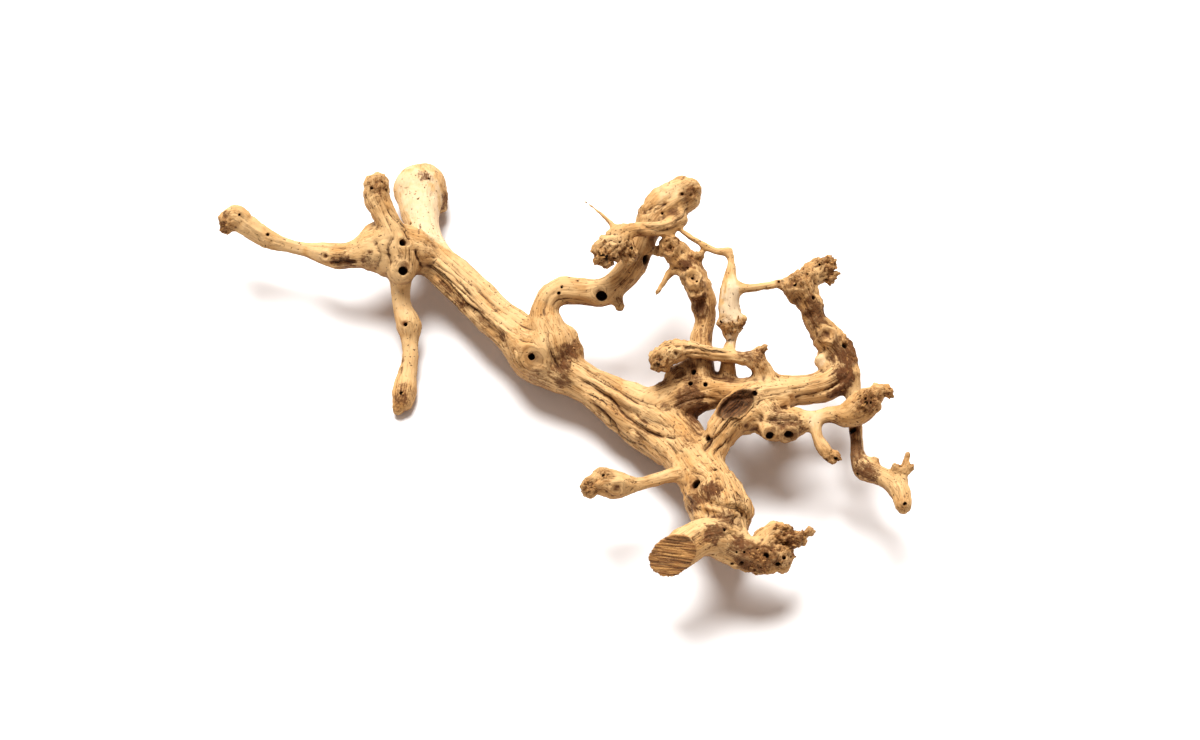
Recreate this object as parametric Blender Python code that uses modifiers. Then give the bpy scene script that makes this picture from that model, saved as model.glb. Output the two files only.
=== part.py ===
"""A piece of driftwood: a blasted grapevine trunk with its twisted limbs, grown as one piece.

It stands on the flattened undersides of the trunk's butt and belly, on the tip of the prop leg
and on a short stub under the loop. Metres, +Z up. The origin is the middle of the bounding
box's footprint, at the height of the surface the wood stands on.
"""


import bmesh
import bpy
from mathutils import Matrix, Vector

MM = 0.001
RING_GAP = 4.0  # mm between the rings along a limb
SKIN_VOXEL = 2.0 * MM  # grid that fuses the limbs into one skin
FAIRING_PASSES = 4
FAIRING_SHARE = 0.5
TRIANGLE_SHARE = 0.07  # triangles kept of those in the fused skin
GROUND_DEPTH = 80.0 * MM  # block that trims the feet level
GROUND_SIDE = 900.0 * MM

# The hollow weathered into the top of the hollow limb, in mm: middle, half sizes, long axis.
HOLLOW_MIDDLE = (130, -74, 73)
HOLLOW_HALF_SIZES = (14, 8, 12)
HOLLOW_LONG_AXIS = (0.83, 0.47, 0.29)

# The slanting saw cut that ends the sawn limb, in mm: a point on the face, and its normal.
SAW_POINT = (82, -204, 67)
SAW_NORMAL = (-0.35, -0.6, 0.72)
SAW_SIDE = 60.0

WOOD_COLOUR = (0.61, 0.37, 0.165, 1.0)  # pale honey tan
WOOD_ROUGHNESS = 0.78

# Each limb runs from its root to its tip through points (x, y, z, radius) in millimetres:
# x to the right, y away from the front, z above the surface the wood stands on.
LIMBS = {
    "trunk": [(-121, 163, 20, 22), (-119, 137, 26, 16.4), (-114, 110, 29, 13.8),
        (-106, 87, 31, 16.2), (-90, 69, 32, 16.5), (-71, 48, 32, 16.4), (-55, 29, 33, 15.9),
        (-41, 15, 34, 17.4), (-22, -4, 32, 23.6), (-1, -20, 31, 18.8), (14, -29, 30, 15.7),
        (28, -38, 29, 17.2), (48, -52, 28, 21), (69, -67, 29, 24.1), (88, -86, 33, 22.3),
        (104, -111, 40, 19.8)],
    "butt_heel": [(-120, 170, 14, 20.8), (-106, 159, 18, 9.1), (-104, 152, 14, 6.6)],
    "crown": [(-109, 87, 34, 14.5), (-126, 84, 45, 20.9), (-141, 83, 50, 21.6),
        (-154, 82, 50, 16.8), (-166, 79, 50, 12)],
    "shoulder": [(-145, 100, 58, 7.2), (-154, 94, 53, 9.6), (-164, 85, 51, 7.2)],
    "left_arm": [(-154, 80, 50, 14.4), (-170, 79, 48, 11.2), (-182, 79, 46, 10.8),
        (-195, 84, 43, 9.2), (-209, 89, 41, 6.7), (-223, 92, 42, 6.4), (-239, 96, 45, 8.1),
        (-254, 103, 51, 9.3), (-265, 109, 56, 10.5), (-270, 107, 57, 8.8)],
    "left_arm_lip": [(-266, 106, 55, 7.2), (-273, 100, 54, 4.8)],
    "upper_arm": [(-130, 63, 50, 11.9), (-130, 76, 59, 10.3), (-137, 89, 66, 10.4),
        (-144, 103, 71, 10), (-150, 114, 75, 11.2), (-150, 124, 78, 11.6)],
    "prop_leg": [(-131, 72, 42, 13.6), (-131, 58, 36, 8.8), (-130, 43, 29, 8),
        (-125, 27, 23, 10.4), (-124, 17, 18, 7.6), (-123, 4, 14, 7.2), (-125, -8, 10, 7.6),
        (-127, -24, 8, 9.5), (-128, -34, 7, 8.3), (-131, -40, 6, 5.5)],
    "arch": [(-10, -7, 44, 18), (-14, 9, 50, 14.1), (-16, 20, 55, 11), (-12, 29, 60, 10.6),
        (-2, 35, 62, 11.4), (14, 33, 63, 11), (31, 31, 65, 11.4), (45, 40, 70, 10.6),
        (54, 50, 76, 11.4), (60, 60, 82, 10.2), (64, 71, 88, 10.6), (70, 82, 93, 13.4),
        (81, 92, 98, 16.1), (94, 100, 101, 14.6)],
    "arch_stub": [(40, 26, 66, 6.3), (44, 18, 64, 3.9)],
    "arch_shoulder": [(-1, 2, 42, 12.6), (4, -7, 38, 11.8)],
    "crossing_limb": [(90, 75, 102, 7), (78, 65, 105, 7), (64, 62, 108, 6.2), (51, 59, 110, 6.6),
        (42, 52, 110, 8.9), (36, 44, 108, 10.4), (32, 39, 107, 10)],
    "crossing_flake": [(40, 49, 107, 9.3), (48, 46, 104, 8.1), (51, 40, 100, 5.8)],
    "crossing_twig": [(41, 58, 112, 3.5), (31, 68, 116, 2.5), (23, 74, 119, 2.4), (16, 79, 121, 2.3)],
    "middle_limb": [(105, -42, 50, 13.9), (106, -24, 58, 10.1), (107, -9, 62, 8.9),
        (110, 4, 66, 8.2), (109, 17, 71, 10.5), (105, 28, 77, 10.9), (99, 39, 84, 10.1),
        (91, 48, 89, 10.5), (83, 55, 92, 9.8)],
    "middle_spur": [(81, 55, 92, 3.9), (71, 56, 86, 3.5)],
    "middle_twig": [(90, 42, 86, 4.7), (82, 37, 82, 3.5), (76, 28, 79, 2.6), (73, 23, 78, 2.6)],
    "middle_thorn": [(101, 44, 88, 5.5), (105, 47, 91, 5.1)],
    "pale_limb": [(127, -37, 56, 7), (128, -25, 66, 5.4), (129, -15, 71, 5.8), (130, -6, 76, 9.3),
        (128, 6, 83, 8.5), (129, 18, 90, 8.1), (129, 29, 93, 5), (130, 39, 95, 3.5),
        (128, 48, 97, 3.9)],
    "pale_bar": [(131, 19, 91, 6.2), (142, 17, 92, 3.9), (156, 19, 92, 3.6), (168, 22, 91, 4.6),
        (181, 22, 89, 10.1)],
    "pale_twig": [(128, 48, 97, 3.9), (119, 48, 97, 3.3), (109, 53, 98, 3.1), (100, 59, 99, 2.6),
        (93, 64, 100, 2.5)],
    "loop": [(155, -50, 54, 13.1), (178, -51, 52, 12), (201, -48, 54, 13.1), (214, -39, 57, 13.1),
        (215, -26, 63, 11.6), (204, -13, 70, 11.6), (195, -1, 77, 8.9), (191, 9, 83, 10.1),
        (183, 20, 89, 13.2)],
    "loop_tip": [(188, 26, 90, 10.1), (198, 35, 93, 8.1), (205, 38, 96, 6.2)],
    "loop_spur": [(197, 30, 90, 7), (209, 28, 90, 4.3)],
    "loop_stub": [(207, -38, 58, 7), (200, -30, 62, 6.2)],
    "level_stub": [(157, -48, 56, 9.3), (154, -41, 62, 8.5), (147, -34, 68, 7.7),
        (132, -32, 71, 5.7), (116, -30, 72, 6.2), (99, -27, 73, 6.9), (85, -28, 73, 9.2),
        (75, -34, 71, 10.8)],
    "level_spur": [(147, -32, 68, 6.2), (154, -25, 72, 3.9)],
    "lip": [(71, -48, 46, 4.6), (81, -44, 50, 5.4), (84, -37, 55, 5), (94, -32, 58, 4.3),
        (104, -30, 59, 3.5), (113, -34, 58, 2.7)],
    "saddle": [(75, -59, 34, 21), (95, -52, 43, 17), (110, -50, 48, 14.3), (127, -52, 51, 11.2),
        (149, -53, 54, 11.6)],
    "hollow_limb": [(110, -111, 40, 13), (114, -101, 49, 11), (121, -89, 55, 13),
        (133, -76, 59, 15.3), (147, -66, 60, 14.5), (165, -60, 56, 13.1)],
    "pebble": [(133, -84, 56, 8.4), (140, -84, 54, 6.9)],
    "cluster": [(147, -68, 58, 13.8), (158, -84, 59, 13), (173, -87, 59, 11.8), (183, -85, 60, 7.6)],
    "fork_limb": [(177, -79, 60, 7.6), (189, -82, 62, 6.1), (203, -80, 64, 6.9),
        (215, -82, 66, 9.9), (224, -80, 70, 12.2), (231, -75, 74, 11.4), (238, -68, 77, 7.6),
        (245, -67, 78, 5.3), (249, -70, 77, 3.4)],
    "fork_hook": [(192, -84, 62, 5.3), (193, -97, 60, 4.6), (198, -106, 57, 6.1),
        (205, -112, 54, 4.9)],
    "hanging_limb": [(220, -40, 58, 9.3), (223, -53, 52, 6.9), (224, -73, 48, 6.1),
        (224, -94, 48, 5.3), (224, -107, 49, 6.1), (228, -119, 50, 9.5), (238, -126, 52, 7.6),
        (247, -132, 53, 7.5), (253, -141, 54, 8.3), (255, -154, 55, 6.7)],
    "hanging_bump": [(229, -120, 52, 6.1), (236, -115, 54, 3.8)],
    "hanging_twig": [(254, -134, 56, 6), (257, -124, 60, 3.4), (260, -115, 64, 2.6)],
    "hanging_thorn": [(255, -131, 57, 4.5), (251, -123, 60, 3), (252, -129, 58, 3.8),
        (262, -125, 60, 3.4)],
    "low_limb": [(104, -121, 44, 10.6), (86, -124, 50, 6.8), (70, -130, 53, 5.7),
        (57, -135, 55, 6), (42, -137, 57, 10.5), (30, -135, 59, 10.5), (21, -141, 60, 7.9)],
    "burl": [(100, -108, 40, 19.9), (109, -128, 44, 20.5), (115, -143, 47, 23.4),
        (120, -158, 50, 23.2)],
    "sawn_limb": [(127, -179, 54, 11.9), (114, -183, 60, 14.1), (102, -187, 64, 14),
        (91, -195, 66, 14.7), (78, -205, 67, 14.7), (63, -215, 70, 14.5)],
    "holed_limb": [(119, -186, 54, 13.4), (132, -191, 50, 13.4), (145, -194, 46, 12.3),
        (161, -190, 42, 12.7)],
    "torn_tip": [(147, -185, 47, 10.4), (158, -176, 51, 9.3), (168, -179, 51, 7.1),
        (177, -179, 51, 5.6), (185, -174, 51, 3)],
    "middle_boss": [(97, 38, 89, 7), (99, 31, 87, 8.9), (102, 24, 84, 8.2), (103, 18, 82, 6.2)],
    "pale_knob": [(126, -4, 77, 4.6), (121, -6, 78, 3.9)],
    "pale_flake": [(134, -2, 79, 4.6), (139, -3, 79, 3.1)],
    "fork_knob": [(220, -76, 72, 6.1), (226, -72, 74, 6.8)],
    "cluster_eye_left": [(155, -88, 62, 6.8), (156, -95, 63, 6.1)],
    "cluster_eye_right": [(172, -88, 62, 6.8), (173, -95, 63, 6.1)],
    "rear_foot": [(163, -50, 44, 13), (170, -52, 28, 9.5), (168, -56, 12, 9), (166, -57, -6, 11)],
    "belly": [(58, -56, 21, 19), (78, -70, 20, 20.5)],
}


def clear_scene():
    for obj in list(bpy.data.objects):
        bpy.data.objects.remove(obj)


def smooth_route(points):
    """Catmull-Rom curve through points (x, y, z, radius), read every few millimetres."""
    knots = [Vector(p) for p in points]
    knots = [2 * knots[0] - knots[1]] + knots + [2 * knots[-1] - knots[-2]]
    route = []
    for a, b, c, d in zip(knots, knots[1:], knots[2:], knots[3:]):
        pieces = max(2, round((c - b).to_3d().length / RING_GAP))
        for i in range(pieces):
            t = i / pieces
            bend = (2 * a - 5 * b + 4 * c - d) * t**2 + (3 * b - a - 3 * c + d) * t**3
            route.append(0.5 * (2 * b + (c - a) * t + bend))
    route.append(knots[-2])
    return route


def limb_curve(name, points):
    """A tapering round limb with closed ends."""
    curve = bpy.data.curves.new(name, "CURVE")
    curve.dimensions = "3D"
    curve.bevel_depth = MM
    curve.bevel_resolution = 3
    curve.use_fill_caps = True
    route = smooth_route(points)
    spline = curve.splines.new("POLY")
    spline.points.add(len(route) - 1)
    for spline_point, place in zip(spline.points, route):
        spline_point.co = (place[0] * MM, place[1] * MM, place[2] * MM, 1)
        spline_point.radius = max(place[3], 1.0)
    return bpy.data.objects.new(name, curve)


def joined_limbs(collection):
    """The tubes of all the limbs in one mesh, with a ball at every bend to round it."""
    joined = bmesh.new()
    limbs = [limb_curve(name, points) for name, points in LIMBS.items()]
    for limb in limbs:
        collection.objects.link(limb)
    graph = bpy.context.evaluated_depsgraph_get()
    for limb in limbs:
        mesh = bpy.data.meshes.new_from_object(limb.evaluated_get(graph))
        joined.from_mesh(mesh)
        bpy.data.meshes.remove(mesh)
        bpy.data.objects.remove(limb)
    for points in LIMBS.values():
        for x, y, z, radius in points:
            place = Matrix.Translation(Vector((x, y, z)) * MM)
            bmesh.ops.create_icosphere(joined, subdivisions=2, radius=radius * MM, matrix=place)
    return mesh_object("driftwood", joined, collection)


def mesh_object(name, shape, collection):
    mesh = bpy.data.meshes.new(name)
    shape.to_mesh(mesh)
    shape.free()
    obj = bpy.data.objects.new(name, mesh)
    collection.objects.link(obj)
    return obj


def cutter_object(name, shape, collection):
    cutter = mesh_object(name, shape, collection)
    cutter.hide_render = True
    cutter.display_type = "WIRE"
    return cutter


def ground_cutter(collection):
    """The block below the surface the wood stands on."""
    shape = bmesh.new()
    size = Matrix.Diagonal((GROUND_SIDE, GROUND_SIDE, GROUND_DEPTH, 1))
    lowered = Matrix.Translation((0, 0, -GROUND_DEPTH / 2))
    bmesh.ops.create_cube(shape, size=1, matrix=lowered @ size)
    return cutter_object("ground_cutter", shape, collection)


def hollow_cutter(collection):
    """The long oval pocket in the hollow limb."""
    turn = Vector(HOLLOW_LONG_AXIS).to_track_quat("X", "Z").to_matrix().to_4x4()
    size = Matrix.Diagonal((*[half * MM for half in HOLLOW_HALF_SIZES], 1))
    place = Matrix.Translation(Vector(HOLLOW_MIDDLE) * MM)
    shape = bmesh.new()
    bmesh.ops.create_icosphere(shape, subdivisions=3, radius=1, matrix=place @ turn @ size)
    return cutter_object("hollow_cutter", shape, collection)


def saw_cutter(collection):
    """The block whose inner side is the slanting saw cut."""
    normal = Vector(SAW_NORMAL).normalized()
    turn = normal.to_track_quat("Z", "Y").to_matrix().to_4x4()
    middle = Vector(SAW_POINT) + normal * SAW_SIDE / 2
    size = Matrix.Diagonal((SAW_SIDE * MM, SAW_SIDE * MM, SAW_SIDE * MM, 1))
    shape = bmesh.new()
    bmesh.ops.create_cube(shape, size=1, matrix=Matrix.Translation(middle * MM) @ turn @ size)
    return cutter_object("saw_cutter", shape, collection)


def fuse_and_trim(wood, cutters):
    fuse = wood.modifiers.new("fuse", "REMESH")
    fuse.mode = "VOXEL"
    fuse.voxel_size = SKIN_VOXEL
    fair = wood.modifiers.new("fair", "SMOOTH")
    fair.factor = FAIRING_SHARE
    fair.iterations = FAIRING_PASSES
    thin = wood.modifiers.new("thin", "DECIMATE")
    thin.ratio = TRIANGLE_SHARE
    for cutter in cutters:
        cut = wood.modifiers.new(cutter.name, "BOOLEAN")
        cut.operation = "DIFFERENCE"
        cut.solver = "EXACT"
        cut.object = cutter


def footprint_middle(wood):
    """The middle of the finished wood's bounding box, on the ground."""
    graph = bpy.context.evaluated_depsgraph_get()
    finished = bpy.data.meshes.new_from_object(wood.evaluated_get(graph))
    low = [min(v.co[i] for v in finished.vertices) for i in (0, 1)]
    high = [max(v.co[i] for v in finished.vertices) for i in (0, 1)]
    bpy.data.meshes.remove(finished)
    return Vector(((low[0] + high[0]) / 2, (low[1] + high[1]) / 2, 0))


def wood_material():
    material = bpy.data.materials.new("driftwood")
    material.use_nodes = True
    surface = material.node_tree.nodes["Principled BSDF"]
    surface.inputs["Base Color"].default_value = WOOD_COLOUR
    surface.inputs["Roughness"].default_value = WOOD_ROUGHNESS
    surface.inputs["Metallic"].default_value = 0.0
    return material


def main():
    clear_scene()
    wood_collection = bpy.data.collections.new("driftwood")
    cutter_collection = bpy.data.collections.new("cutters")
    bpy.context.scene.collection.children.link(wood_collection)
    bpy.context.scene.collection.children.link(cutter_collection)
    wood = joined_limbs(wood_collection)
    wood.data.materials.append(wood_material())
    makers = (ground_cutter, hollow_cutter, saw_cutter)
    cutters = [make(cutter_collection) for make in makers]
    fuse_and_trim(wood, cutters)
    shift = footprint_middle(wood)
    for piece in (wood, *cutters):
        piece.location -= shift


main()
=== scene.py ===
"""A piece of blasted grapevine driftwood, grown as one, on a pale studio floor.

The skin is built up as a carver would: round limbs are fused, the forks are filled in, the saw
cut and the pocket are taken out, then the long flutes, cracks, knots, bark scars and torn ends
are worked into it, and last the insects' bores are drilled. Sizes are in millimetres until the
finished skin is scaled to metres.
"""

import bmesh
import bpy
import numpy as np
from mathutils import Matrix, Vector
from mathutils.bvhtree import BVHTree
from mathutils.kdtree import KDTree


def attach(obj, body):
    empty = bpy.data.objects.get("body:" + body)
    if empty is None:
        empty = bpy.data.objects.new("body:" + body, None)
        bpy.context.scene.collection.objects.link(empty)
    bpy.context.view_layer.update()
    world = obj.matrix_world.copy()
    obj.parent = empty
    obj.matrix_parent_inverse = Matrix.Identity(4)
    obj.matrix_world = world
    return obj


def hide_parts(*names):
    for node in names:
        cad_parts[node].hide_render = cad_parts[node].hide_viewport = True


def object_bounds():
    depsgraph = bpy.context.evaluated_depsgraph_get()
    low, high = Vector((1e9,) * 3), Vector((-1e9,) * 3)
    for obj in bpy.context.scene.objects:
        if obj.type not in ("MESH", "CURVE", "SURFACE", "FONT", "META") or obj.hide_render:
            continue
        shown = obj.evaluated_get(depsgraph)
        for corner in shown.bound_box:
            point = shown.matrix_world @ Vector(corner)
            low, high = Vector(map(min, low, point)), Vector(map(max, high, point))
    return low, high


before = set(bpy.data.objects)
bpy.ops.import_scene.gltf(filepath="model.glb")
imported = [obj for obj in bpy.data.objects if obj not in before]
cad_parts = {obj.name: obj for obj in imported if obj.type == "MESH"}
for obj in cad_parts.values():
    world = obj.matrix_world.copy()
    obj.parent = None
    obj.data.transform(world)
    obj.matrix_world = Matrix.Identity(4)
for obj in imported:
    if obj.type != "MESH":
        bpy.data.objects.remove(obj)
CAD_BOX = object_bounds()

MM = 0.001
SEED = 11

# Camera and studio.
AIM_ALONG = 28.0  # x of the point looked at, mm, before the footprint's middle is taken off
CAMERA_HEIGHT_ANGLE = 58.0
CAMERA_DISTANCE = 2.0
LENS, SENSOR_WIDTH = 75, 36
FLOOR_REACH = 4.0
FLOOR_PAINT, FLOOR_ROUGHNESS = (0.9, 0.9, 0.9, 1), 0.9
ROOM_COLOUR = (1, 0.80, 0.69, 1)
ROOM_LIGHT = 0.42
KEY_DIRECTION = (-0.2, 0.85, 1.5)
KEY_SOFTNESS = 0.60
KEY_LIGHT = 6.1

FOOTPRINT_MIDDLE = (-6.955, -12.434, 0.0)  # of the limbs below, which becomes the origin

# The pocket weathered into the hollow limb: middle, half sizes, long axis.
HOLLOW_MIDDLE = (130, -74, 73)
HOLLOW_HALF_SIZES = (16, 10, 13)
HOLLOW_LONG_AXIS = (0.83, 0.47, 0.29)

# The slanting saw cut: a point on the face, and its normal.
SAW_POINT = (82, -204, 67)
SAW_NORMAL = (-0.35, -0.6, 0.72)
SAW_SIDE = 60.0  # side of the block that takes the saw cut off
SAW_ACROSS = (0.03, 0.81, 0.69)  # across the lines that the blade left
SAW_FACE_REACH = 34.0  # how far from its middle the sawn face is finished as one
SAW_PITCH = 2.7

# Each limb runs from its root to its tip through points (x, y, z, radius).
LIMBS = {
    "trunk": [(-121, 163, 20, 22), (-119, 137, 26, 16.4), (-114, 110, 29, 13.8), (-106, 87, 31, 16.2),
        (-90, 69, 32, 16.5), (-71, 48, 32, 16.4), (-55, 29, 33, 15.9), (-41, 15, 34, 17.4),
        (-22, -4, 32, 23.6), (-1, -20, 31, 18.8), (14, -29, 30, 15.7), (28, -38, 29, 17.2),
        (48, -52, 28, 21), (69, -67, 29, 24.1), (88, -86, 33, 22.3), (104, -111, 40, 19.8)],
    "butt_heel": [(-120, 170, 14, 20.8), (-106, 159, 18, 9.1), (-104, 152, 14, 6.6)],
    "crown": [(-109, 87, 34, 14.5), (-126, 84, 45, 20.9), (-141, 83, 50, 21.6), (-154, 82, 50, 16.8),
        (-166, 79, 50, 12)],
    "shoulder": [(-145, 100, 58, 7.2), (-154, 94, 53, 9.6), (-164, 85, 51, 7.2)],
    "left_arm": [(-154, 80, 50, 14.4), (-170, 79, 48, 11.2), (-182, 79, 46, 10.8), (-195, 84, 43, 9.2),
        (-209, 89, 41, 6.7), (-223, 92, 42, 6.4), (-239, 96, 45, 8.1), (-254, 103, 51, 9.3),
        (-265, 109, 56, 10.5), (-270, 107, 57, 8.8)],
    "left_arm_lip": [(-266, 106, 55, 7.2), (-273, 100, 54, 4.8)],
    "upper_arm": [(-130, 63, 50, 11.9), (-130, 76, 59, 10.3), (-137, 89, 66, 10.4), (-144, 103, 71, 10),
        (-150, 114, 75, 11.2), (-150, 124, 78, 11.6)],
    "prop_leg": [(-131, 72, 42, 13.6), (-131, 58, 36, 8.8), (-130, 43, 29, 8), (-125, 27, 23, 10.4),
        (-124, 17, 18, 7.6), (-123, 4, 14, 7.2), (-125, -8, 10, 7.6), (-127, -24, 8, 9.5),
        (-128, -34, 7, 8.3), (-131, -40, 6, 5.5)],
    "arch": [(-10, -7, 44, 18), (-14, 9, 50, 14.1), (-16, 20, 55, 11), (-12, 29, 60, 10.6),
        (-2, 35, 62, 11.4), (14, 33, 63, 11), (31, 31, 65, 11.4), (45, 40, 70, 10.6), (54, 50, 76, 11.4),
        (60, 60, 82, 10.2), (64, 71, 88, 10.6), (70, 82, 93, 13.4), (81, 92, 98, 16.1),
        (94, 100, 101, 14.6)],
    "arch_stub": [(40, 26, 66, 6.3), (44, 18, 64, 3.9)],
    "arch_shoulder": [(-1, 2, 42, 12.6), (4, -7, 38, 11.8)],
    "crossing_limb": [(90, 75, 102, 7), (78, 65, 105, 7), (64, 62, 108, 6.2), (51, 59, 110, 6.6),
        (42, 52, 110, 8.9), (36, 44, 108, 10.4), (32, 39, 107, 10)],
    "crossing_flake": [(40, 49, 107, 9.3), (48, 46, 104, 8.1), (51, 40, 100, 5.8)],
    "crossing_twig": [(41, 58, 112, 3.2), (31, 68, 116, 1.8), (23, 74, 119, 1.5), (16, 79, 121, 1.3)],
    "middle_limb": [(105, -42, 50, 13.9), (106, -24, 58, 10.1), (107, -9, 62, 8.9), (110, 4, 66, 8.2),
        (109, 17, 71, 10.5), (105, 28, 77, 10.9), (99, 39, 84, 10.1), (91, 48, 89, 10.5),
        (83, 55, 92, 9.8)],
    "middle_spur": [(81, 55, 92, 3.9), (71, 56, 86, 3.5)],
    "middle_twig": [(90, 42, 86, 4.7), (82, 37, 82, 3.5), (76, 28, 79, 2.6), (73, 23, 78, 2.6)],
    "middle_thorn": [(101, 44, 88, 5.5), (105, 47, 91, 5.1)],
    "pale_limb": [(127, -37, 56, 7), (128, -25, 66, 5.4), (129, -15, 71, 5.8), (130, -6, 76, 9.3),
        (128, 6, 83, 8.5), (129, 18, 90, 8.1), (129, 29, 93, 5), (130, 39, 95, 3.5), (128, 48, 97, 3.9)],
    "pale_bar": [(131, 19, 91, 6.2), (142, 17, 92, 3.9), (156, 19, 92, 3.6), (168, 22, 91, 4.6),
        (181, 22, 89, 10.1)],
    "pale_twig": [(128, 48, 97, 3.9), (119, 48, 97, 3.3), (109, 53, 98, 3.1), (100, 59, 99, 2.6),
        (93, 64, 100, 2.5)],
    "loop": [(155, -50, 54, 13.1), (178, -51, 52, 12), (201, -48, 54, 13.1), (214, -39, 57, 13.1),
        (215, -26, 63, 11.6), (204, -13, 70, 11.6), (195, -1, 77, 8.9), (191, 9, 83, 10.1),
        (183, 20, 89, 13.2)],
    "loop_tip": [(188, 26, 90, 10.1), (198, 35, 93, 8.1), (205, 38, 96, 6.2)],
    "loop_spur": [(197, 30, 90, 7), (209, 28, 90, 4.3)],
    "loop_stub": [(207, -38, 58, 7), (200, -30, 62, 6.2)],
    "level_stub": [(157, -48, 56, 9.3), (154, -41, 62, 8.5), (147, -34, 68, 7.7), (132, -32, 71, 5.7),
        (116, -30, 72, 6.2), (99, -27, 73, 6.9), (85, -28, 73, 9.2), (75, -34, 71, 10.8)],
    "level_spur": [(147, -32, 68, 6.2), (154, -25, 72, 3.9)],
    "lip": [(71, -48, 46, 4.6), (81, -44, 50, 5.4), (84, -37, 55, 5), (94, -32, 58, 4.3),
        (104, -30, 59, 3.5), (113, -34, 58, 2.7)],
    "saddle": [(75, -59, 34, 21), (95, -52, 43, 17), (110, -50, 48, 14.3), (127, -52, 51, 11.2),
        (149, -53, 54, 11.6)],
    "hollow_limb": [(110, -111, 40, 13), (114, -101, 49, 11), (121, -89, 55, 13), (133, -76, 59, 15.3),
        (147, -66, 60, 14.5), (165, -60, 56, 13.1)],
    "pebble": [(133, -84, 56, 8.4), (140, -84, 54, 6.9)],
    "cluster": [(147, -68, 58, 13.8), (158, -84, 59, 13), (173, -87, 59, 11.8), (183, -85, 60, 7.6)],
    "fork_limb": [(177, -79, 60, 7.6), (189, -82, 62, 6.1), (203, -80, 64, 6.9), (215, -82, 66, 9.9),
        (224, -80, 70, 12.2), (231, -75, 74, 11.4), (238, -68, 77, 7.6), (245, -67, 78, 5.3),
        (249, -70, 77, 3.4)],
    "fork_hook": [(192, -84, 62, 5.3), (193, -97, 60, 4.6), (198, -106, 57, 6.1), (205, -112, 54, 4.9)],
    "hanging_limb": [(220, -40, 58, 9.3), (223, -53, 52, 6.9), (224, -73, 48, 6.1), (224, -94, 48, 5.3),
        (224, -107, 49, 6.1), (228, -119, 50, 9.5), (238, -126, 52, 7.6), (247, -132, 53, 7.5),
        (253, -141, 54, 8.3), (255, -154, 55, 6.7)],
    "hanging_bump": [(229, -120, 52, 6.1), (236, -115, 54, 3.8)],
    "hanging_twig": [(254, -134, 56, 6), (257, -124, 60, 3.4), (260, -115, 64, 2.6)],
    "hanging_thorn": [(255, -131, 57, 4.5), (251, -123, 60, 3), (252, -129, 58, 3.8), (262, -125, 60, 3.4)],
    "low_limb": [(104, -121, 44, 10.6), (86, -124, 50, 6.8), (70, -130, 53, 5.7), (57, -135, 55, 6),
        (42, -137, 57, 10.5), (30, -135, 59, 10.5), (21, -141, 60, 7.9)],
    "burl": [(100, -108, 40, 19.9), (109, -128, 44, 20.5), (115, -143, 47, 23.4), (120, -158, 50, 23.2)],
    "sawn_limb": [(127, -179, 54, 11.9), (114, -183, 60, 14.1), (102, -187, 64, 14), (91, -195, 66, 14.7),
        (78, -205, 67, 14.7), (63, -215, 70, 14.5)],
    "holed_limb": [(119, -186, 54, 13.4), (132, -191, 50, 13.4), (145, -194, 46, 12.3),
        (161, -190, 42, 12.7)],
    "torn_tip": [(147, -185, 47, 10.4), (158, -176, 51, 9.3), (168, -179, 51, 7.1), (177, -179, 51, 5.6),
        (185, -174, 51, 3)],
    "middle_boss": [(97, 38, 89, 7), (99, 31, 87, 8.9), (102, 24, 84, 8.2), (103, 18, 82, 6.2)],
    "pale_knob": [(126, -4, 77, 4.6), (121, -6, 78, 3.9)],
    "pale_flake": [(134, -2, 79, 4.6), (139, -3, 79, 3.1)],
    "fork_knob": [(220, -76, 72, 6.1), (226, -72, 74, 6.8)],
    "cluster_eye_left": [(155, -88, 62, 6.8), (156, -95, 63, 6.1)],
    "cluster_eye_right": [(172, -88, 62, 6.8), (173, -95, 63, 6.1)],
    "rear_foot": [(163, -50, 44, 13), (170, -52, 28, 9.5), (168, -56, 12, 9), (166, -57, -6, 11)],
    "belly": [(58, -56, 21, 19), (78, -70, 20, 20.5)],
}

# How deep each limb's flutes are.
FLUTE_DEPTH = {"trunk": 1.25, "belly": 1.0, "saddle": 1.2, "hollow_limb": 1.1, "loop": 0.9, "burl": 1.0,
               "level_stub": 0.7, "sawn_limb": 0.7, "holed_limb": 0.8, "cluster": 0.7, "arch": 0.45,
               "middle_limb": 0.6, "upper_arm": 0.7, "crown": 0.6, "low_limb": 0.6}
PLAIN_FLUTE = 0.4

# The skin: voxel sizes in mm and fork-filling passes, for the round core and for the carved skin.
CORE_VOXEL, CORE_FORK_PASSES = 1.6, 18
SKIN_VOXEL, SKIN_FORK_PASSES = 1.0, 3
SKIN_TRIANGLES = 182_000

FIBRE_REACH = 12.0  # how far outside a limb its fibres may still show, in a filled fork
FIBRE_BLEND = 2.2  # how gradually one limb's fibres give way to the next one's
CHANNELS = 4  # sets of straightened places, so that limbs which meet keep their own
SCAR_WAVE = 3.5  # size of the raggedness on a scar's edge
VIEW_SIDE = np.array((0.0, -0.53, 0.85))  # the side whose marks the tables below give one by one
STRAY_CRACKS_SEEN = 12  # short checks added on that side; the far side gets many more marks
BLAST_AND_SHADE_REACH = 34.0  # how far off another limb still shelters the wood from the blasting and from the light, for the painted shade
BLAST_AND_SHADE_RAYS = 20
FLAKE_DENSITY = 60_000.0  # flakes per square metre at the most torn places
FLAKE_SIZES = (0.0016, 0.0042)  # smallest and largest flake, in metres

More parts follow.
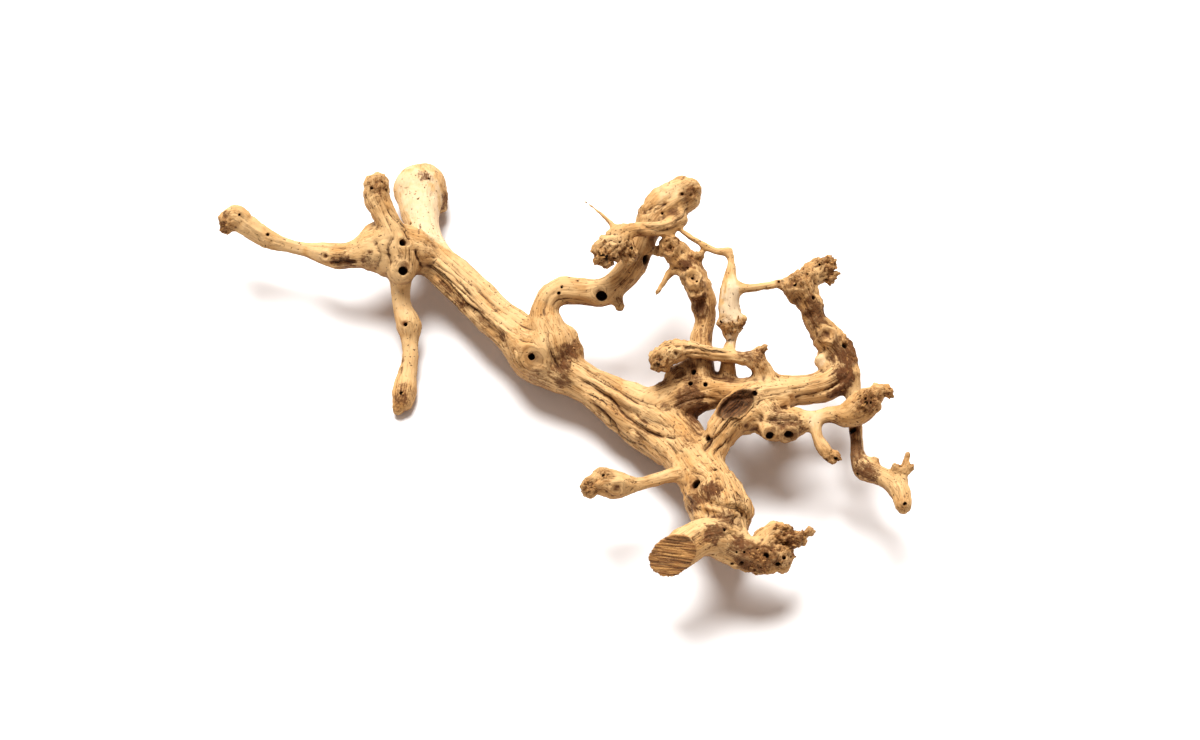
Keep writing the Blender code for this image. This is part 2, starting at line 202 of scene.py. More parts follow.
# How knobbly each limb is at its root and at its tip, in mm.
GNARL = {"arch": (0.1, 1.05), "crossing_limb": (0.1, 2.3), "crossing_flake": (1.6, 2.3),
         "middle_limb": (0.2, 1.7),
         "middle_spur": (1.2, 1.2), "middle_thorn": (1.2, 1.2), "loop": (0.3, 1.25), "loop_tip": (1.5, 2.1),
         "loop_spur": (1.5, 2.1), "loop_stub": (1.2, 1.2), "cluster": (1.1, 1.1), "pebble": (0.6, 0.6),
         "fork_limb": (0.1, 1.6), "fork_hook": (0.1, 1.3), "hanging_limb": (0.1, 0.5),
         "hanging_thorn": (1, 1),
         "level_stub": (0.4, 1.7), "level_spur": (0.8, 1.2), "low_limb": (0.1, 1.3), "torn_tip": (1.4, 2.6),
         "holed_limb": (0.3, 1.5), "left_arm": (0.1, 0.9), "left_arm_lip": (1.2, 1.2),
         "upper_arm": (0.1, 1.3),
         "saddle": (0.6, 0.6), "lip": (0.6, 0.6), "prop_leg": (0.15, 0.4), "burl": (0.75, 0.75),
         "middle_boss": (1, 1), "pale_knob": (1, 1.2), "pale_flake": (0.8, 1.2), "fork_knob": (1.4, 1.7),
         "cluster_eye_left": (0.3, 0.3), "cluster_eye_right": (0.3, 0.3), "pale_limb": (0.2, 0.6),
         "crown": (0.45, 0.3), "trunk": (0.05, 0.2), "hollow_limb": (0.6, 0.6), "sawn_limb": (0.4, 0.3)}
PLAIN_GNARL = (0.3, 0.5)

# Colours of the wood, linear; some of the browns also paint shade into hollows, undersides, the pocket and
# the bores.
PALE_WOOD = (0.66, 0.43, 0.195)
TAN_WOOD = (0.51, 0.27, 0.088)
DEEP_TAN = (0.34, 0.160, 0.052)
BLEACHED_WOOD = (0.74, 0.58, 0.38)
SHADE_AND_STAIN_BROWN = (0.175, 0.065, 0.017)
HOLLOW_BROWN = (0.098, 0.032, 0.0085)
CRACK_BROWN = (0.058, 0.020, 0.006)
CRACK_DARK = (0.030, 0.011, 0.004)
BARK_BROWN = (0.17, 0.066, 0.021)
BARK_DARK = (0.055, 0.021, 0.008)
TORN_ORANGE = (0.42, 0.195, 0.060)
BORE_SHADE = (0.022, 0.009, 0.004)

# Marks at their places on the wood, mm in the finished frame.
# Bores: x, y, z, radius, depth. Knots: x, y, z, radius, rim height.
# Scars, bleached places, and brown patches that are partly stain and partly painted shade: x, y, z, radius,
# strength.
# Torn places: x, y, z, reach, roughness. Grooves: half width, depth, route.
BORES = [
    (-18, -6.5, 49.5, 2.9, 12), (35.5, 35.5, 72.5, 4.4, 14), (71.5, 61.5, 83.5, 4.2, 12),
    (-121, 68, 59, 3.8, 10), (-120.5, 88.5, 69.5, 3, 9), (106, -128, 63.5, 4, 13), (-254, 118, 65, 1.2, 4),
    (-231.5, 108, 53, 1.5, 5), (-105.5, 173.5, 39.5, 1.1, 4), (-147, 128, 86.5, 1.5, 4),
    (-134.5, 130, 83.5, 1.6, 5), (-138.5, 134, 88, 1.1, 3), (-118.5, 129.5, 38, 1.1, 4),
    (-120, 35.5, 32, 1.7, 5), (3.5, 39.5, 70, 1.5, 5), (6, 43.5, 72.5, 1.1, 3), (17, 49, 73, 1, 3),
    (10.5, 36.5, 60.5, 1, 3), (84, 89.5, 106, 1.2, 4), (35, 46, 114, 2, 6), (47.5, 46.5, 109.5, 1.4, 5),
    (59, 54.5, 109.5, 1.5, 4), (89.5, 62, 100, 1.5, 5), (107, 38.5, 94, 1.4, 4), (110, 34.5, 91.5, 1.2, 4),
    (128, 5, 81.5, 1.5, 4), (173, 34, 95, 1.1, 4), (184, 28, 100, 2, 6), (199, 19.5, 93, 2, 7),
    (88, -19, 82, 1.2, 4), (78.5, -30, 76.5, 2, 6), (105, -37, 60.5, 2, 7), (115.5, -39, 62, 2, 7),
    (106.5, -28.5, 62.5, 2.4, 7), (153, -55.5, 74, 2.4, 5), (115.5, -85.5, 59.5, 2.6, 6),
    (163.5, -87.5, 66, 3.4, 7), (178, -87.5, 65.5, 3.7, 8), (120.5, -117, 66, 1.7, 5),
    (228.5, -73.5, 52, 3.2, 8), (235.5, -65.5, 84.5, 1.4, 5), (240, -69, 83, 1.4, 5),
    (229, -113, 53, 1.3, 4), (262.5, -143.5, 61, 1.6, 4), (37, -123.5, 69, 1.4, 5),
    (127, -171.5, 72.5, 1.4, 5), (119, -185.5, 60.5, 1.5, 5), (157.5, -185, 56.5, 2.3, 7),
    (139, -191, 55, 2, 7), (167, -189, 49.5, 2.2, 7), (149.5, -193, 49.5, 1.5, 5), (-122, -19, 16, 1.7, 5),
    (223.5, -12, 75, 2.6, 8), (141, -185, 61.5, 1.1, 4), (151, -180.5, 59, 1, 4),
    (161.5, -180.5, 55.5, 1.3, 4), (171, -184, 52, 1.6, 5), (145.5, -192, 43.5, 1.2, 4),
    (154.5, -191.5, 52.5, 1.2, 4), (134.5, -184.5, 62, 1, 3), (235.5, -69.5, 83, 1.6, 5),
    (231.5, -62.5, 83, 1.1, 4), (212, 39, 94.5, 1.2, 4), (205, 46, 101, 1.2, 4), (196, 36.5, 100, 1.1, 4),
    (43.5, 43, 108, 1, 4), (50.5, 55.5, 115.5, 1.1, 4), (101.5, 46.5, 95, 1.3, 4),
    (100, 104.5, 113.5, 1.6, 5), (-169.5, 98, 55, 1, 3), (-113.5, 152.5, 41.5, 0.9, 3),
    (205.5, -101, 54.5, 2.4, 6), (213.5, -102, 57.5, 1.8, 5), (172, -174.5, 54, 2.4, 7),
    (133, -190, 53.5, 1.4, 5),
]
KNOTS = [
    (-18, -6.5, 49.5, 11, 0.9), (-184.5, 87.5, 51.5, 3.6, 1), (88.5, 62, 99.5, 6, 1.3),
    (107.5, 38, 94, 6.5, 1.5), (184, 28, 100, 6, 1), (209.5, -5, 80.5, 6.2, 1.6),
    (163.5, -87.5, 66, 7, 1.3), (178, -87.5, 65.5, 7.5, 1.4), (93, -22, 79.5, 3.2, 0.8),
    (146.5, -76.5, 62.5, 4, 0.9), (47.5, -132, 64.5, 6, 1), (-120.5, 88.5, 69.5, 5.5, 0.7),
    (-121, 68.5, 59.5, 7, 0.7), (106, -128, 63.5, 9, 0.9), (35.5, 35.5, 72.5, 7, 0.5),
    (238, -67.5, 84, 6.5, 0.9), (227, -4, 71.5, 5, 0.9), (138.5, -161.5, 64.5, 5, -1.2),
    (172, -32, 63.5, 3.5, 0.7),
]
SCARS = [
    (-109.5, 175.5, 41, 4.5, 0.9), (-147.5, 83, 62.5, 2.2, 0.9), (12.5, -2, 50, 7, 1),
    (8.5, -11, 49, 5, 0.9), (17, 5.5, 48, 5, 0.8), (117, -137, 70.5, 7, 1), (111.5, -143.5, 67, 4, 0.8),
    (117, -176.5, 75.5, 8, 0.9), (123, -172.5, 74, 6, 0.9), (137.5, -176.5, 64, 5.5, 1),
    (227, -20.5, 71.5, 6, 1), (223, -34, 67, 7, 1), (217.5, -43.5, 60.5, 7, 0.9), (229.5, -9, 71, 5, 0.9),
    (232.5, -112.5, 57.5, 7.5, 0.8), (240, -117.5, 56, 5, 0.7), (84, -54.5, 53.5, 3.5, 0.8),
    (114, 25.5, 81.5, 5.5, 1), (111, 21.5, 76, 5, 0.9), (134, -33.5, 60.5, 5.5, 0.6),
    (154, -23, 75.5, 7, 0.5), (-91.5, 168, 21, 4, 0.9), (-94.5, 159, 17.5, 3.5, 0.9), (105, 53, 96, 4, 0.8),
    (100, 50, 95, 4, 0.8), (106, 107.5, 113.5, 4, 0.8), (-74.5, 51, 40, 3.5, 0.9), (138, -58, 62, 3, 0.6),
    (111, -53, 47, 6, 1), (106.5, -59, 46, 6, 1), (95, -26, 59, 5, 0.8), (104.5, -23, 62.5, 4, 0.8),
    (121, -117, 66, 2.6, 0.7), (151.5, -77.5, 57.5, 3, 0.7), (230, -73, 53, 5, 0.9),
    (66, 68.5, 112, 3.5, 0.5), (52, 34, 68.5, 3.5, 0.7), (144.5, -191.5, 53.5, 5, 0.6),
    (177.5, -171, 55.5, 5, 1), (172.5, -166.5, 58.5, 4, 0.9), (183.5, -168, 56.5, 4, 0.8),
    (-119, -12, 17, 5, 0.5), (-122.5, -23, 15, 6, 0.7), (-120, 22, 22, 2.5, 0.3), (-123.5, 3, 15, 3, 0.7),
    (-122.5, 11.5, 16, 2.5, 0.6), (-265, 118, 65, 4, 0.6), (-267, 110, 57.5, 4.5, 0.7),
    (-140, 120.5, 84, 5, 0.3), (-151.5, 79, 54, 5, 0.7), (-164.5, 81, 51.5, 5, 0.9),
    (-175.5, 82, 51, 4, 0.9),
]
TORN = [
    (-267, 111.5, 59, 9, 1.2), (-141.5, 132.5, 88.5, 10, 1.1), (38, 44.5, 114, 13, 1.9),
    (54, 52, 108.5, 11, 2), (108.5, 106.5, 112, 8, 1.2), (66.5, 98, 100, 6, 0.8), (89.5, 63, 100.5, 9, 1.3),
    (110.5, 56.5, 95, 6, 1.5), (108, 25, 82.5, 6, 1), (79.5, 34, 79.5, 4, 0.8), (213, 47.5, 101, 12, 2.2),
    (217.5, 38.5, 93, 8, 2), (189, 35.5, 101.5, 13, 1.6), (180.5, 25.5, 95, 8, 1),
    (78.5, -29, 77.5, 10, 1.3), (161, -16, 74.5, 8, 1.6), (157.5, -27, 73, 8, 1.2),
    (27.5, -131.5, 67, 9, 1.5), (39.5, -120.5, 69, 7, 1), (192, -162.5, 53.5, 7, 1.2),
    (173, -166.5, 58, 11, 2.6), (176, -176, 52, 10, 2), (183.5, -168, 56.5, 9, 2.4),
    (157, -189.5, 54, 15, 1.3), (147.5, -193.5, 47, 7, 1.5), (210.5, -102.5, 57, 9, 1.4),
    (262.5, -145.5, 60, 6, 0.8), (260.5, -111.5, 62, 7, 1.2), (269, -112, 63, 5, 1),
    (267.5, -102.5, 66, 4, 0.6), (238.5, -66, 84.5, 13, 2), (253, -57.5, 82, 7, 1.6), (135, 0, 82, 8, 1.9),
    (143, 3, 82, 6, 2), (129, 5, 82, 5, 1.2), (50.5, 30.5, 68, 6, 1), (17, 1.5, 47, 7, 0.8),
    (245, -103, 56.5, 4, 0.7), (226, -6, 73, 6, 1.3), (231.5, -17, 69, 6, 1.2), (127.5, 4.5, 81, 4, 1),
    (80, 65, 90, 4, 0.8), (-91.5, 168, 21, 6, 0.9), (-124, -29.5, 11, 6, 0.7),
]
BLEACHED = [
    (135, 25, 96, 12, 1), (135, 11.5, 88.5, 12, 1), (136.5, -5.5, 75.5, 8, 0.9), (-114, 160.5, 41, 24, 0.8),
    (-103, 136, 40, 10, 0.6), (-124.5, 55, 37, 9, 0.5), (-115, 10, 19, 9, 0.5), (-77, 81.5, 47.5, 12, 0.5),
    (-44, 49, 46.5, 12, 0.5), (-131.5, 89.5, 71, 10, 0.5), (89.5, 107, 114, 12, 0.6),
    (42.5, 56.5, 118, 9, 0.5), (66, -26, 39.5, 14, 0.5), (109, -163, 72, 14, 0.5),
    (142.5, -157.5, 61.5, 8, 0.5), (146, -170, 58, 8, 0.5), (172.5, -44, 68.5, 12, 0.5),
    (198, -74, 66.5, 8, 0.7), (111.5, -66, 45.5, 7, 0.5), (80, -114, 57.5, 9, 0.5),
    (50, -126.5, 67, 8, 0.4), (204.5, -18.5, 67.5, 7, 0.8), (188.5, -36.5, 63.5, 9, 0.4),
    (227, -42, 58.5, 7, 0.5), (-122.5, 55, 37, 14, 0.55), (-123.5, 64, 52, 12, 0.5),
    (-114.5, 22, 22.5, 10, 0.5), (-115.5, -2.5, 16, 9, 0.5), (-189, 93, 52, 12, 0.55),
    (-214, 103, 47.5, 13, 0.55), (-135.5, 82.5, 67, 16, 0.45), (-245.5, 110, 58, 12, 0.5),
    (-130, 103, 77, 9, 0.45), (-101.5, 137, 39, 26, 0.9), (-112, 160.5, 41, 16, 0.6),
    (-94.5, 117, 39, 20, 0.7), (-68.5, 67, 47.5, 13, 0.5), (-36, 29, 51, 12, 0.5),
    (-11.5, -4.5, 56, 10, 0.4), (3.5, 40.5, 70.5, 12, 0.45), (35, 40.5, 75.5, 12, 0.4),
    (66, -41, 49.5, 14, 0.35), (65, -128.5, 55, 9, 0.4),
]
BROWN_PATCHES_AND_SHADE = [
    (173.5, -75, 71, 13, 0.75), (229.5, -91, 54, 12, 1), (226, -103, 53, 8, 0.9), (203, 10.5, 86, 11, 1),
    (198, 18, 92.5, 8, 0.8), (151, -188.5, 56.5, 16, 0.95), (138, -184, 62.5, 9, 0.8),
    (59.5, 47.5, 99, 9, 0.7), (218, -16, 74.5, 9, 0.8), (115, 55.5, 89.5, 9, 0.6),
    (107.5, 68.5, 99.5, 7, 0.6), (4, -22.5, 41.5, 10, 0.8), (108, -120, 63, 9, 0.5),
    (112.5, 19, 74.5, 10, 0.9), (109.5, 24.5, 82.5, 8, 1), (117, 5, 70.5, 9, 0.6),
    (227, -20.5, 71.5, 12, 1), (223.5, -36, 66, 10, 0.9), (217.5, -43.5, 60.5, 9, 0.9),
    (237, -70.5, 82.5, 9, 0.8), (231, -74.5, 79.5, 6, 0.7), (227.5, -74, 51.5, 7, 0.9),
    (229, -98, 55.5, 8, 0.6), (109.5, -54, 46.5, 12, 1), (102.5, -51, 55, 8, 0.9),
    (-12, -19.5, 33.5, 12, 0.6), (4, -17, 47, 9, 0.8), (8.5, -4.5, 53.5, 10, 0.8),
    (104, -140.5, 58, 9, 0.9), (117, -138.5, 70.5, 9, 0.9), (156, -188, 55.5, 15, 0.7),
    (173, -171.5, 56, 10, 0.9), (168.5, -188.5, 49, 9, 0.8), (101.5, 49, 95, 6, 0.9),
    (100, 40.5, 92.5, 6, 0.7), (66, 58.5, 85.5, 8, 0.6), (73.5, 62.5, 79.5, 7, 0.8),
    (53.5, 45, 77.5, 8, 0.6), (52, 34, 68.5, 5, 0.8), (159.5, -21, 73.5, 8, 0.7), (104, -33, 61, 10, 0.7),
    (121.5, -27, 60.5, 9, 0.6), (200.5, 4.5, 82.5, 9, 0.6), (204.5, -5, 78.5, 7, 0.6),
    (191, 23.5, 98.5, 7, 0.6), (185, 28, 100, 6, 0.7), (108, -183, 77.5, 8, 0.5),
    (134.5, -180, 64.5, 8, 0.5), (88, -192, 66.5, 18, 0.35), (-118.5, -20.5, 15.5, 11, 0.5),
    (-169, 81.5, 51.5, 9, 0.8), (-148, 79, 56, 9, 0.5), (-123.5, 74.5, 62.5, 9, 0.5),
    (-76.5, 52, 38.5, 10, 0.6), (-60, 35, 41, 9, 0.6), (-89, 65, 36, 9, 0.6), (-43.5, 14.5, 41, 8, 0.6),
    (46, -47.5, 45, 9, 0.5), (65.5, -71, 43.5, 9, 0.6), (35, -47, 33.5, 9, 0.5), (81, -87, 43.5, 8, 0.4),
    (238.5, -114.5, 58, 9, 0.6), (237, -117.5, 54, 8, 0.6), (-142.5, 130, 87.5, 11, 0.5),
    (-266, 112.5, 60.5, 9, 0.6), (26, -131.5, 67, 9, 0.6), (38, 45.5, 115, 9, 0.5),
    (79.5, -30.5, 76, 8, 0.5), (145.5, 4, 77.5, 5, 0.6), (133.5, -2.5, 77.5, 6, 0.5),
    (168.5, -53, 0.5, 8, 0.4), (179, -86.5, 58, 8, 0.4), (110, -116, 63.5, 9, 0.3),
    (-93, 164.5, 21, 6, 0.8), (105.5, 107.5, 113.5, 6, 0.7), (100.5, 102.5, 112.5, 5, 0.8),
    (91, 89.5, 107.5, 7, 0.8), (-101.5, 104, 53, 6, 0.5), (67.5, 103, 98.5, 6, 0.4),
    (205, 45.5, 100.5, 8, 0.4), (215.5, 40.5, 94, 7, 0.5), (138, -58, 62, 9, 0.8),
    (156.5, -58.5, 73, 6, 0.5), (103.5, -86, 57, 9, 0.6), (107.5, -69, 50.5, 9, 0.7),

   # MISS (780, 352, 7, 0.6)

    (104, -48.5, 57, 12, 1), (110, -53.5, 39, 7, 0.9), (146.5, -18.5, 76, 8, 0.7),

    (73.5, -26.5, 67.5, 7, 0.7), (82, -30.5, 51.5, 7, 0.8), (115.5, -51, 42, 6, 0.9),
    (185, -81.5, 67, 9, 0.7), (213.5, -75.5, 63.5, 8, 0.6), (112.5, 35.5, 91.5, 7, 0.7),


    (109.5, 52.5, 94, 7, 0.6), (231, -9, 67.5, 7, 0.7), (189, 19, 91.5, 6, 0.8), (207.5, 20, 86, 6, 0.8),
    (129.5, -161.5, 68.5, 9, 0.8), (135, -146, 71.5, 8, 0.6),
]
GROOVES = [
    (3.2, 2.6, [(-107.5, 80.5, 51), (-96, 75.5, 40.5), (-84.5, 62.5, 40), (-76.5, 52.5, 39),
              (-65, 41, 41), (-53.5, 27.5, 41), (-43.5, 15.5, 42.5), (-36.5, 4.5, 43.5)]),
    (2.4, 1.6, [(-93, 92.5, 47.5), (-80.5, 78.5, 48), (-68.5, 66, 47.5), (-55.5, 51, 47.5), (-44, 36, 49)]),
    (3.2, 2.8, [(14.5, -22, 43.5), (27, -30, 43.5), (39, -39, 44), (47.5, -48.5, 45), (58, -61.5, 44),
              (69.5, -70.5, 46.5), (81, -78.5, 49), (96, -85, 55.5)]),
    (2.6, 2, [(27, -39, 35.5), (39.5, -51, 36), (50.5, -63, 30), (61, -73.5, 31), (73.5, -83, 33.5)]),
    (2.6, 2, [(22.5, -14, 45), (38, -25.5, 45.5), (54.5, -38, 48.5), (69.5, -49, 51.5), (84, -55, 53)]),
    (2.6, 2, [(35, -37.5, 43), (52, -50, 46), (65.5, -60.5, 49.5), (81, -69, 52.5), (96, -76, 55)]),
    (2.4, 1.8, [(154, -62.5, 72.5), (144, -70, 72), (135.5, -76, 70), (127.5, -84, 65.5),
              (119, -91, 59.5), (110.5, -102, 60.5)]),
    (2.2, 1.6, [(184.5, -49.5, 60), (200, -47, 60.5), (213.5, -42.5, 63.5), (223.5, -34.5, 66.5)]),
    (2.4, 2.2, [(109.5, -140, 65), (118, -148, 71), (129, -151.5, 72), (140.5, -153.5, 66.5),
              (146, -156.5, 56.5)]),
    (2.2, 1.6, [(106, -146, 59.5), (115, -155.5, 67), (125, -160, 69.5)]),
    (2.4, 2, [(142, -76.5, 67), (136.5, -83, 62.5), (131.5, -90.5, 55.5)]),
    (2.6, 2.2, [(158, -69.5, 71), (155, -76, 66.5), (154.5, -77, 52.5)]),
    (2.2, 1.8, [(162, -77.5, 70), (170, -75, 71), (179, -77, 70.5), (187.5, -78, 67.5)]),
    (2.2, 1.8, [(-8, 10.5, 61.5), (-5.5, -2, 60), (-1, -10.5, 51.5), (5.5, -19.5, 45)]),
    (2.4, 2, [(66, 76.5, 114), (77.5, 71, 111), (89.5, 73, 108), (99, 82, 106.5)]),
    (2.2, 1.8, [(66.5, 93.5, 100.5), (78, 95.5, 109), (89.5, 95.5, 111)]),
    (2, 1.6, [(91, 51.5, 87.5), (99.5, 46, 93), (105, 51.5, 96)]),
    (3, 3, [(105, 30, 75), (110, 24, 78), (118.5, 24, 79.5)]),

    (2.2, 1.8, [(122.5, 1, 62.5), (133.5, -7.5, 74), (141.5, -3.5, 72)]),
    (2.2, 1.6, [(-135, 116.5, 81), (-127, 107.5, 76), (-120.5, 99, 71), (-116.5, 90, 67.5)]),
    (2.4, 2, [(-146, 94, 67.5), (-141, 83.5, 66), (-140.5, 77, 58.5), (-146, 79, 43)]),
    (2, 1.6, [(-129, 92.5, 72.5), (-133, 82.5, 67), (-130, 72.5, 59)]),
    (0.9, 1.2, [(-136.5, 118.5, 82), (-131, 111.5, 78.5), (-123, 104.5, 73), (-118.5, 98, 68.5),
              (-116, 89.5, 66.5)]),
    (0.7, 0.8, [(-133, 116.5, 80), (-126.5, 110, 75), (-121, 104, 70), (-117, 95, 67.5)]),
    (1.6, 3, [(-111.5, 88, 62.5), (-110, 83, 58), (-107.5, 80.5, 51), (-106, 80.5, 42)]),
    (0.7, 1.4, [(-112.5, 127, 41.5), (-110, 109, 58.5), (-109.5, 100, 62.5)]),
    (1.4, 1.8, [(-107.5, 81, 52.5), (-98, 79.5, 42.5), (-88, 69, 43), (-80.5, 59.5, 42), (-72, 49.5, 41),
              (-61.5, 38.5, 42.5), (-51, 27.5, 44), (-39.5, 14, 46)]),
    (0.8, 1, [(-106, 80.5, 42), (-94.5, 72.5, 39.5), (-84.5, 62, 38.5), (-80, 55.5, 36.5), (-70, 45, 38)]),
    (0.7, 0.9, [(-101, 85, 47), (-89.5, 77.5, 46.5), (-79.5, 68, 46.5), (-71.5, 58.5, 46.5),
              (-63, 46.5, 45.5)]),
    (0.7, 0.7, [(-81.5, 74.5, 48), (-71.5, 63.5, 47.5), (-60, 50, 47.5), (-48, 38, 48.5)]),
    (1, 1.4, [(15.5, -21.5, 44), (27, -28, 44), (35.5, -35.5, 44), (43.5, -43, 45), (49, -51, 44.5),
              (55, -58.5, 43.5), (65.5, -68, 46), (77, -75.5, 48), (87, -80.5, 52),
              (99.5, -80.5, 55.5)]),
    (0.8, 1.6, [(24, -33, 40), (33.5, -39.5, 41), (42, -47, 42.5), (48, -54, 42)]),
    (1.2, 1.6, [(27, -39, 35.5), (37.5, -48, 35.5), (45, -57.5, 32.5), (52, -63.5, 25),
              (59.5, -72, 28.5), (68, -77, 36), (74, -83.5, 34.5)]),
    (0.6, 1, [(84.5, -82, 50.5), (89, -88.5, 51), (92.5, -97, 53.5)]),
    (0.6, 1, [(90, -83.5, 53), (94, -91.5, 54.5), (98.5, -97.5, 57.5)]),
    (0.6, 0.8, [(77, -83.5, 41), (84, -91.5, 42), (89.5, -100.5, 47.5)]),
    (0.8, 0.9, [(21.5, -12, 45), (35, -23.5, 46), (50.5, -36.5, 48), (65.5, -49, 50.5), (82.5, -59.5, 53)]),
    (0.6, 0.6, [(35.5, -16.5, 43.5), (46.5, -27, 46), (59.5, -39, 48.5)]),
    (0.6, 0.7, [(4, -18, 46), (15.5, -27, 40), (27, -37, 39)]),
    (0.8, 1.6, [(154, -62.5, 72.5), (145.5, -69, 72), (137.5, -72.5, 71.5), (129.5, -80.5, 67),
              (120.5, -88.5, 61.5), (113.5, -96, 59.5)]),
    (0.7, 1.2, [(134.5, -85.5, 61), (127.5, -92, 58), (119.5, -100, 59)]),
    (0.6, 0.9, [(143.5, -58, 63.5), (136.5, -62.5, 61), (127.5, -75.5, 69)]),
    (0.8, 1.4, [(158, -59.5, 72.5), (150.5, -66.5, 71.5), (142.5, -74, 69.5), (133.5, -81, 66.5)]),
    (0.9, 1, [(184.5, -49.5, 60), (200, -47, 60.5), (215, -42, 64), (223, -34.5, 67)]),
    (0.6, 0.8, [(176.5, -48, 68), (192, -42, 63.5), (207.5, -38, 66.5)]),
    (0.6, 0.8, [(156.5, -57.5, 73.5), (172.5, -51.5, 69), (188.5, -45.5, 61)]),
    (0.9, 1.4, [(98.5, -17, 80.5), (110, -17, 79), (121, -19, 77.5), (133, -20, 77)]),
    (0.6, 0.7, [(104, -20, 77), (118, -22, 75), (134.5, -24, 74)]),
    (0.7, 1, [(109.5, -140, 65), (118, -148, 71), (129, -150.5, 72.5), (140.5, -152, 67.5),
              (146, -156, 57.5)]),
    (0.8, 1.2, [(134, -136.5, 70), (140.5, -142.5, 68), (145, -149, 63.5), (147, -156, 55.5)]),
    (0.6, 0.7, [(106, -146, 59.5), (116.5, -154, 68.5), (127.5, -157, 70)]),
    (0.6, 0.7, [(123.5, -162.5, 71), (132.5, -158, 68.5), (140.5, -158, 64)]),
    (0.7, 0.9, [(142, -183, 62), (153.5, -178, 58), (164, -178.5, 55.5)]),
    (0.6, 0.7, [(109.5, -155, 61.5), (120.5, -164.5, 72.5), (131, -171.5, 70), (137, -176, 64.5)]),
    (0.8, 0.8, [(65, -125, 60), (76.5, -120, 58), (89, -115.5, 56.5)]),
    (0.6, 0.8, [(-120.5, 97, 71), (-119.5, 89, 69), (-119, 81.5, 65.5), (-119.5, 74.5, 62)]),
    (0.6, 0.9, [(-116.5, 85.5, 66), (-115.5, 78.5, 62), (-117, 71, 59)]),
    (0.7, 0.8, [(-127.5, 94.5, 73.5), (-133, 82.5, 67), (-131.5, 72, 57.5)]),
    (0.6, 0.6, [(-121.5, 17.5, 18.5), (-122, 6, 16), (-124, -9, 16)]),
    (0.6, 0.6, [(-8, 0.5, 60.5), (-2.5, -8.5, 55), (-4, -16, 45.5)]),
    (0.8, 1, [(-5.5, 10.5, 61.5), (-4.5, -2, 60), (0, -11.5, 50), (5.5, -18, 46)]),
    (0.6, 0.7, [(112.5, 30.5, 88.5), (118.5, 23, 78.5), (117, 11, 72.5)]),
    (0.6, 0.7, [(66, 75, 94.5), (61, 55, 107), (58, 47.5, 101.5)]),
    (0.7, 0.8, [(70, 72.5, 114), (81.5, 73.5, 111.5), (94, 80, 109)]),
    (0.7, 0.9, [(66.5, 93.5, 100.5), (78, 92.5, 107.5), (91, 98.5, 112.5)]),
    (0.6, 0.7, [(212, -12, 75.5), (219.5, -23, 71), (220.5, -36.5, 66.5)]),
    (0.6, 0.6, [(160, -69.5, 71.5), (170.5, -64, 68), (181, -68, 68.5)]),
    (0.7, 0.9, [(162, -76.5, 70.5), (175, -75.5, 71), (186.5, -75, 68.5)]),
    (0.6, 0.7, [(-197.5, 99.5, 48.5), (-180.5, 94, 55), (-164, 89, 60.5)]),
    (0.6, 0.6, [(-249.5, 111.5, 59.5), (-236, 104.5, 52), (-218, 101, 47.5)]),
    (1.2, 2.2, [(-180.5, 83, 49.5), (-170.5, 81.5, 51.5), (-160, 80.5, 53.5)]),
    (0.7, 1.2, [(-174, 84, 54), (-166, 82, 54), (-157.5, 80.5, 54.5)]),
    (0.6, 0.7, [(232.5, -88, 53), (231.5, -104, 58), (237, -115.5, 57)]),
    (0.6, 0.6, [(249, -121.5, 58.5), (254.5, -131, 59.5), (259, -141.5, 60.5)]),
    (0.6, 0.6, [(202, -77.5, 65), (201.5, -88, 63.5), (206, -96.5, 62)]),
    (0.8, 1, [(105.5, 98.5, 102), (99, 85.5, 108), (91, 77.5, 110)]),
]


def clear_view_settings():
    scene = bpy.context.scene
    scene.view_settings.view_transform = "Standard"


# ---------------------------------------------------------------- random fields

def lattice_directions(seed):
    rng = np.random.default_rng(seed)
    spread = rng.normal(size=(256, 3))
    return spread / np.linalg.norm(spread, axis=1, keepdims=True), rng.permutation(256)


DIRECTIONS, SHUFFLE = lattice_directions(SEED)


def ripple(places, seed=0):
    """A smooth random field, about -1 to 1, whose waves are one unit long."""
    places = places + np.array([seed * 17.31, seed * 9.17, seed * 5.03])
    cell = np.floor(places).astype(np.int64)
    inside = places - cell
    ease = inside**3 * (inside * (inside * 6 - 15) + 10)
    total = np.zeros(len(places))
    for dx in (0, 1):
        for dy in (0, 1):
            for dz in (0, 1):
                key = SHUFFLE[(cell[:, 0] + dx) & 255]
                key = SHUFFLE[(key + cell[:, 1] + dy) & 255]
                key = SHUFFLE[(key + cell[:, 2] + dz) & 255]
                slope = DIRECTIONS[key]
                reach = inside - np.array([dx, dy, dz])
                share = ((ease[:, 0] if dx else 1 - ease[:, 0])
                         * (ease[:, 1] if dy else 1 - ease[:, 1])
                         * (ease[:, 2] if dz else 1 - ease[:, 2]))
                total += share * np.einsum("ij,ij->i", slope, reach)
    return total * 1.6


# ---------------------------------------------------------------- limbs

def smooth_route(points, gap):
    """Catmull-Rom curve through points (x, y, z, radius), read every few millimetres."""
    knots = [np.array(p, float) for p in points]
    knots = [2 * knots[0] - knots[1]] + knots + [2 * knots[-1] - knots[-2]]
    route = []
    for a, b, c, d in zip(knots, knots[1:], knots[2:], knots[3:]):
        pieces = max(2, round(float(np.linalg.norm((c - b)[:3])) / gap))
        for i in range(pieces):
            t = i / pieces
            bend = (2 * a - 5 * b + 4 * c - d) * t**2 + (3 * b - a - 3 * c + d) * t**3
            route.append(0.5 * (2 * b + (c - a) * t + bend))
    route.append(knots[-2])
    return np.array(route)


def shifted(points):
    return [(x - FOOTPRINT_MIDDLE[0], y - FOOTPRINT_MIDDLE[1], z, r) for x, y, z, r in points]


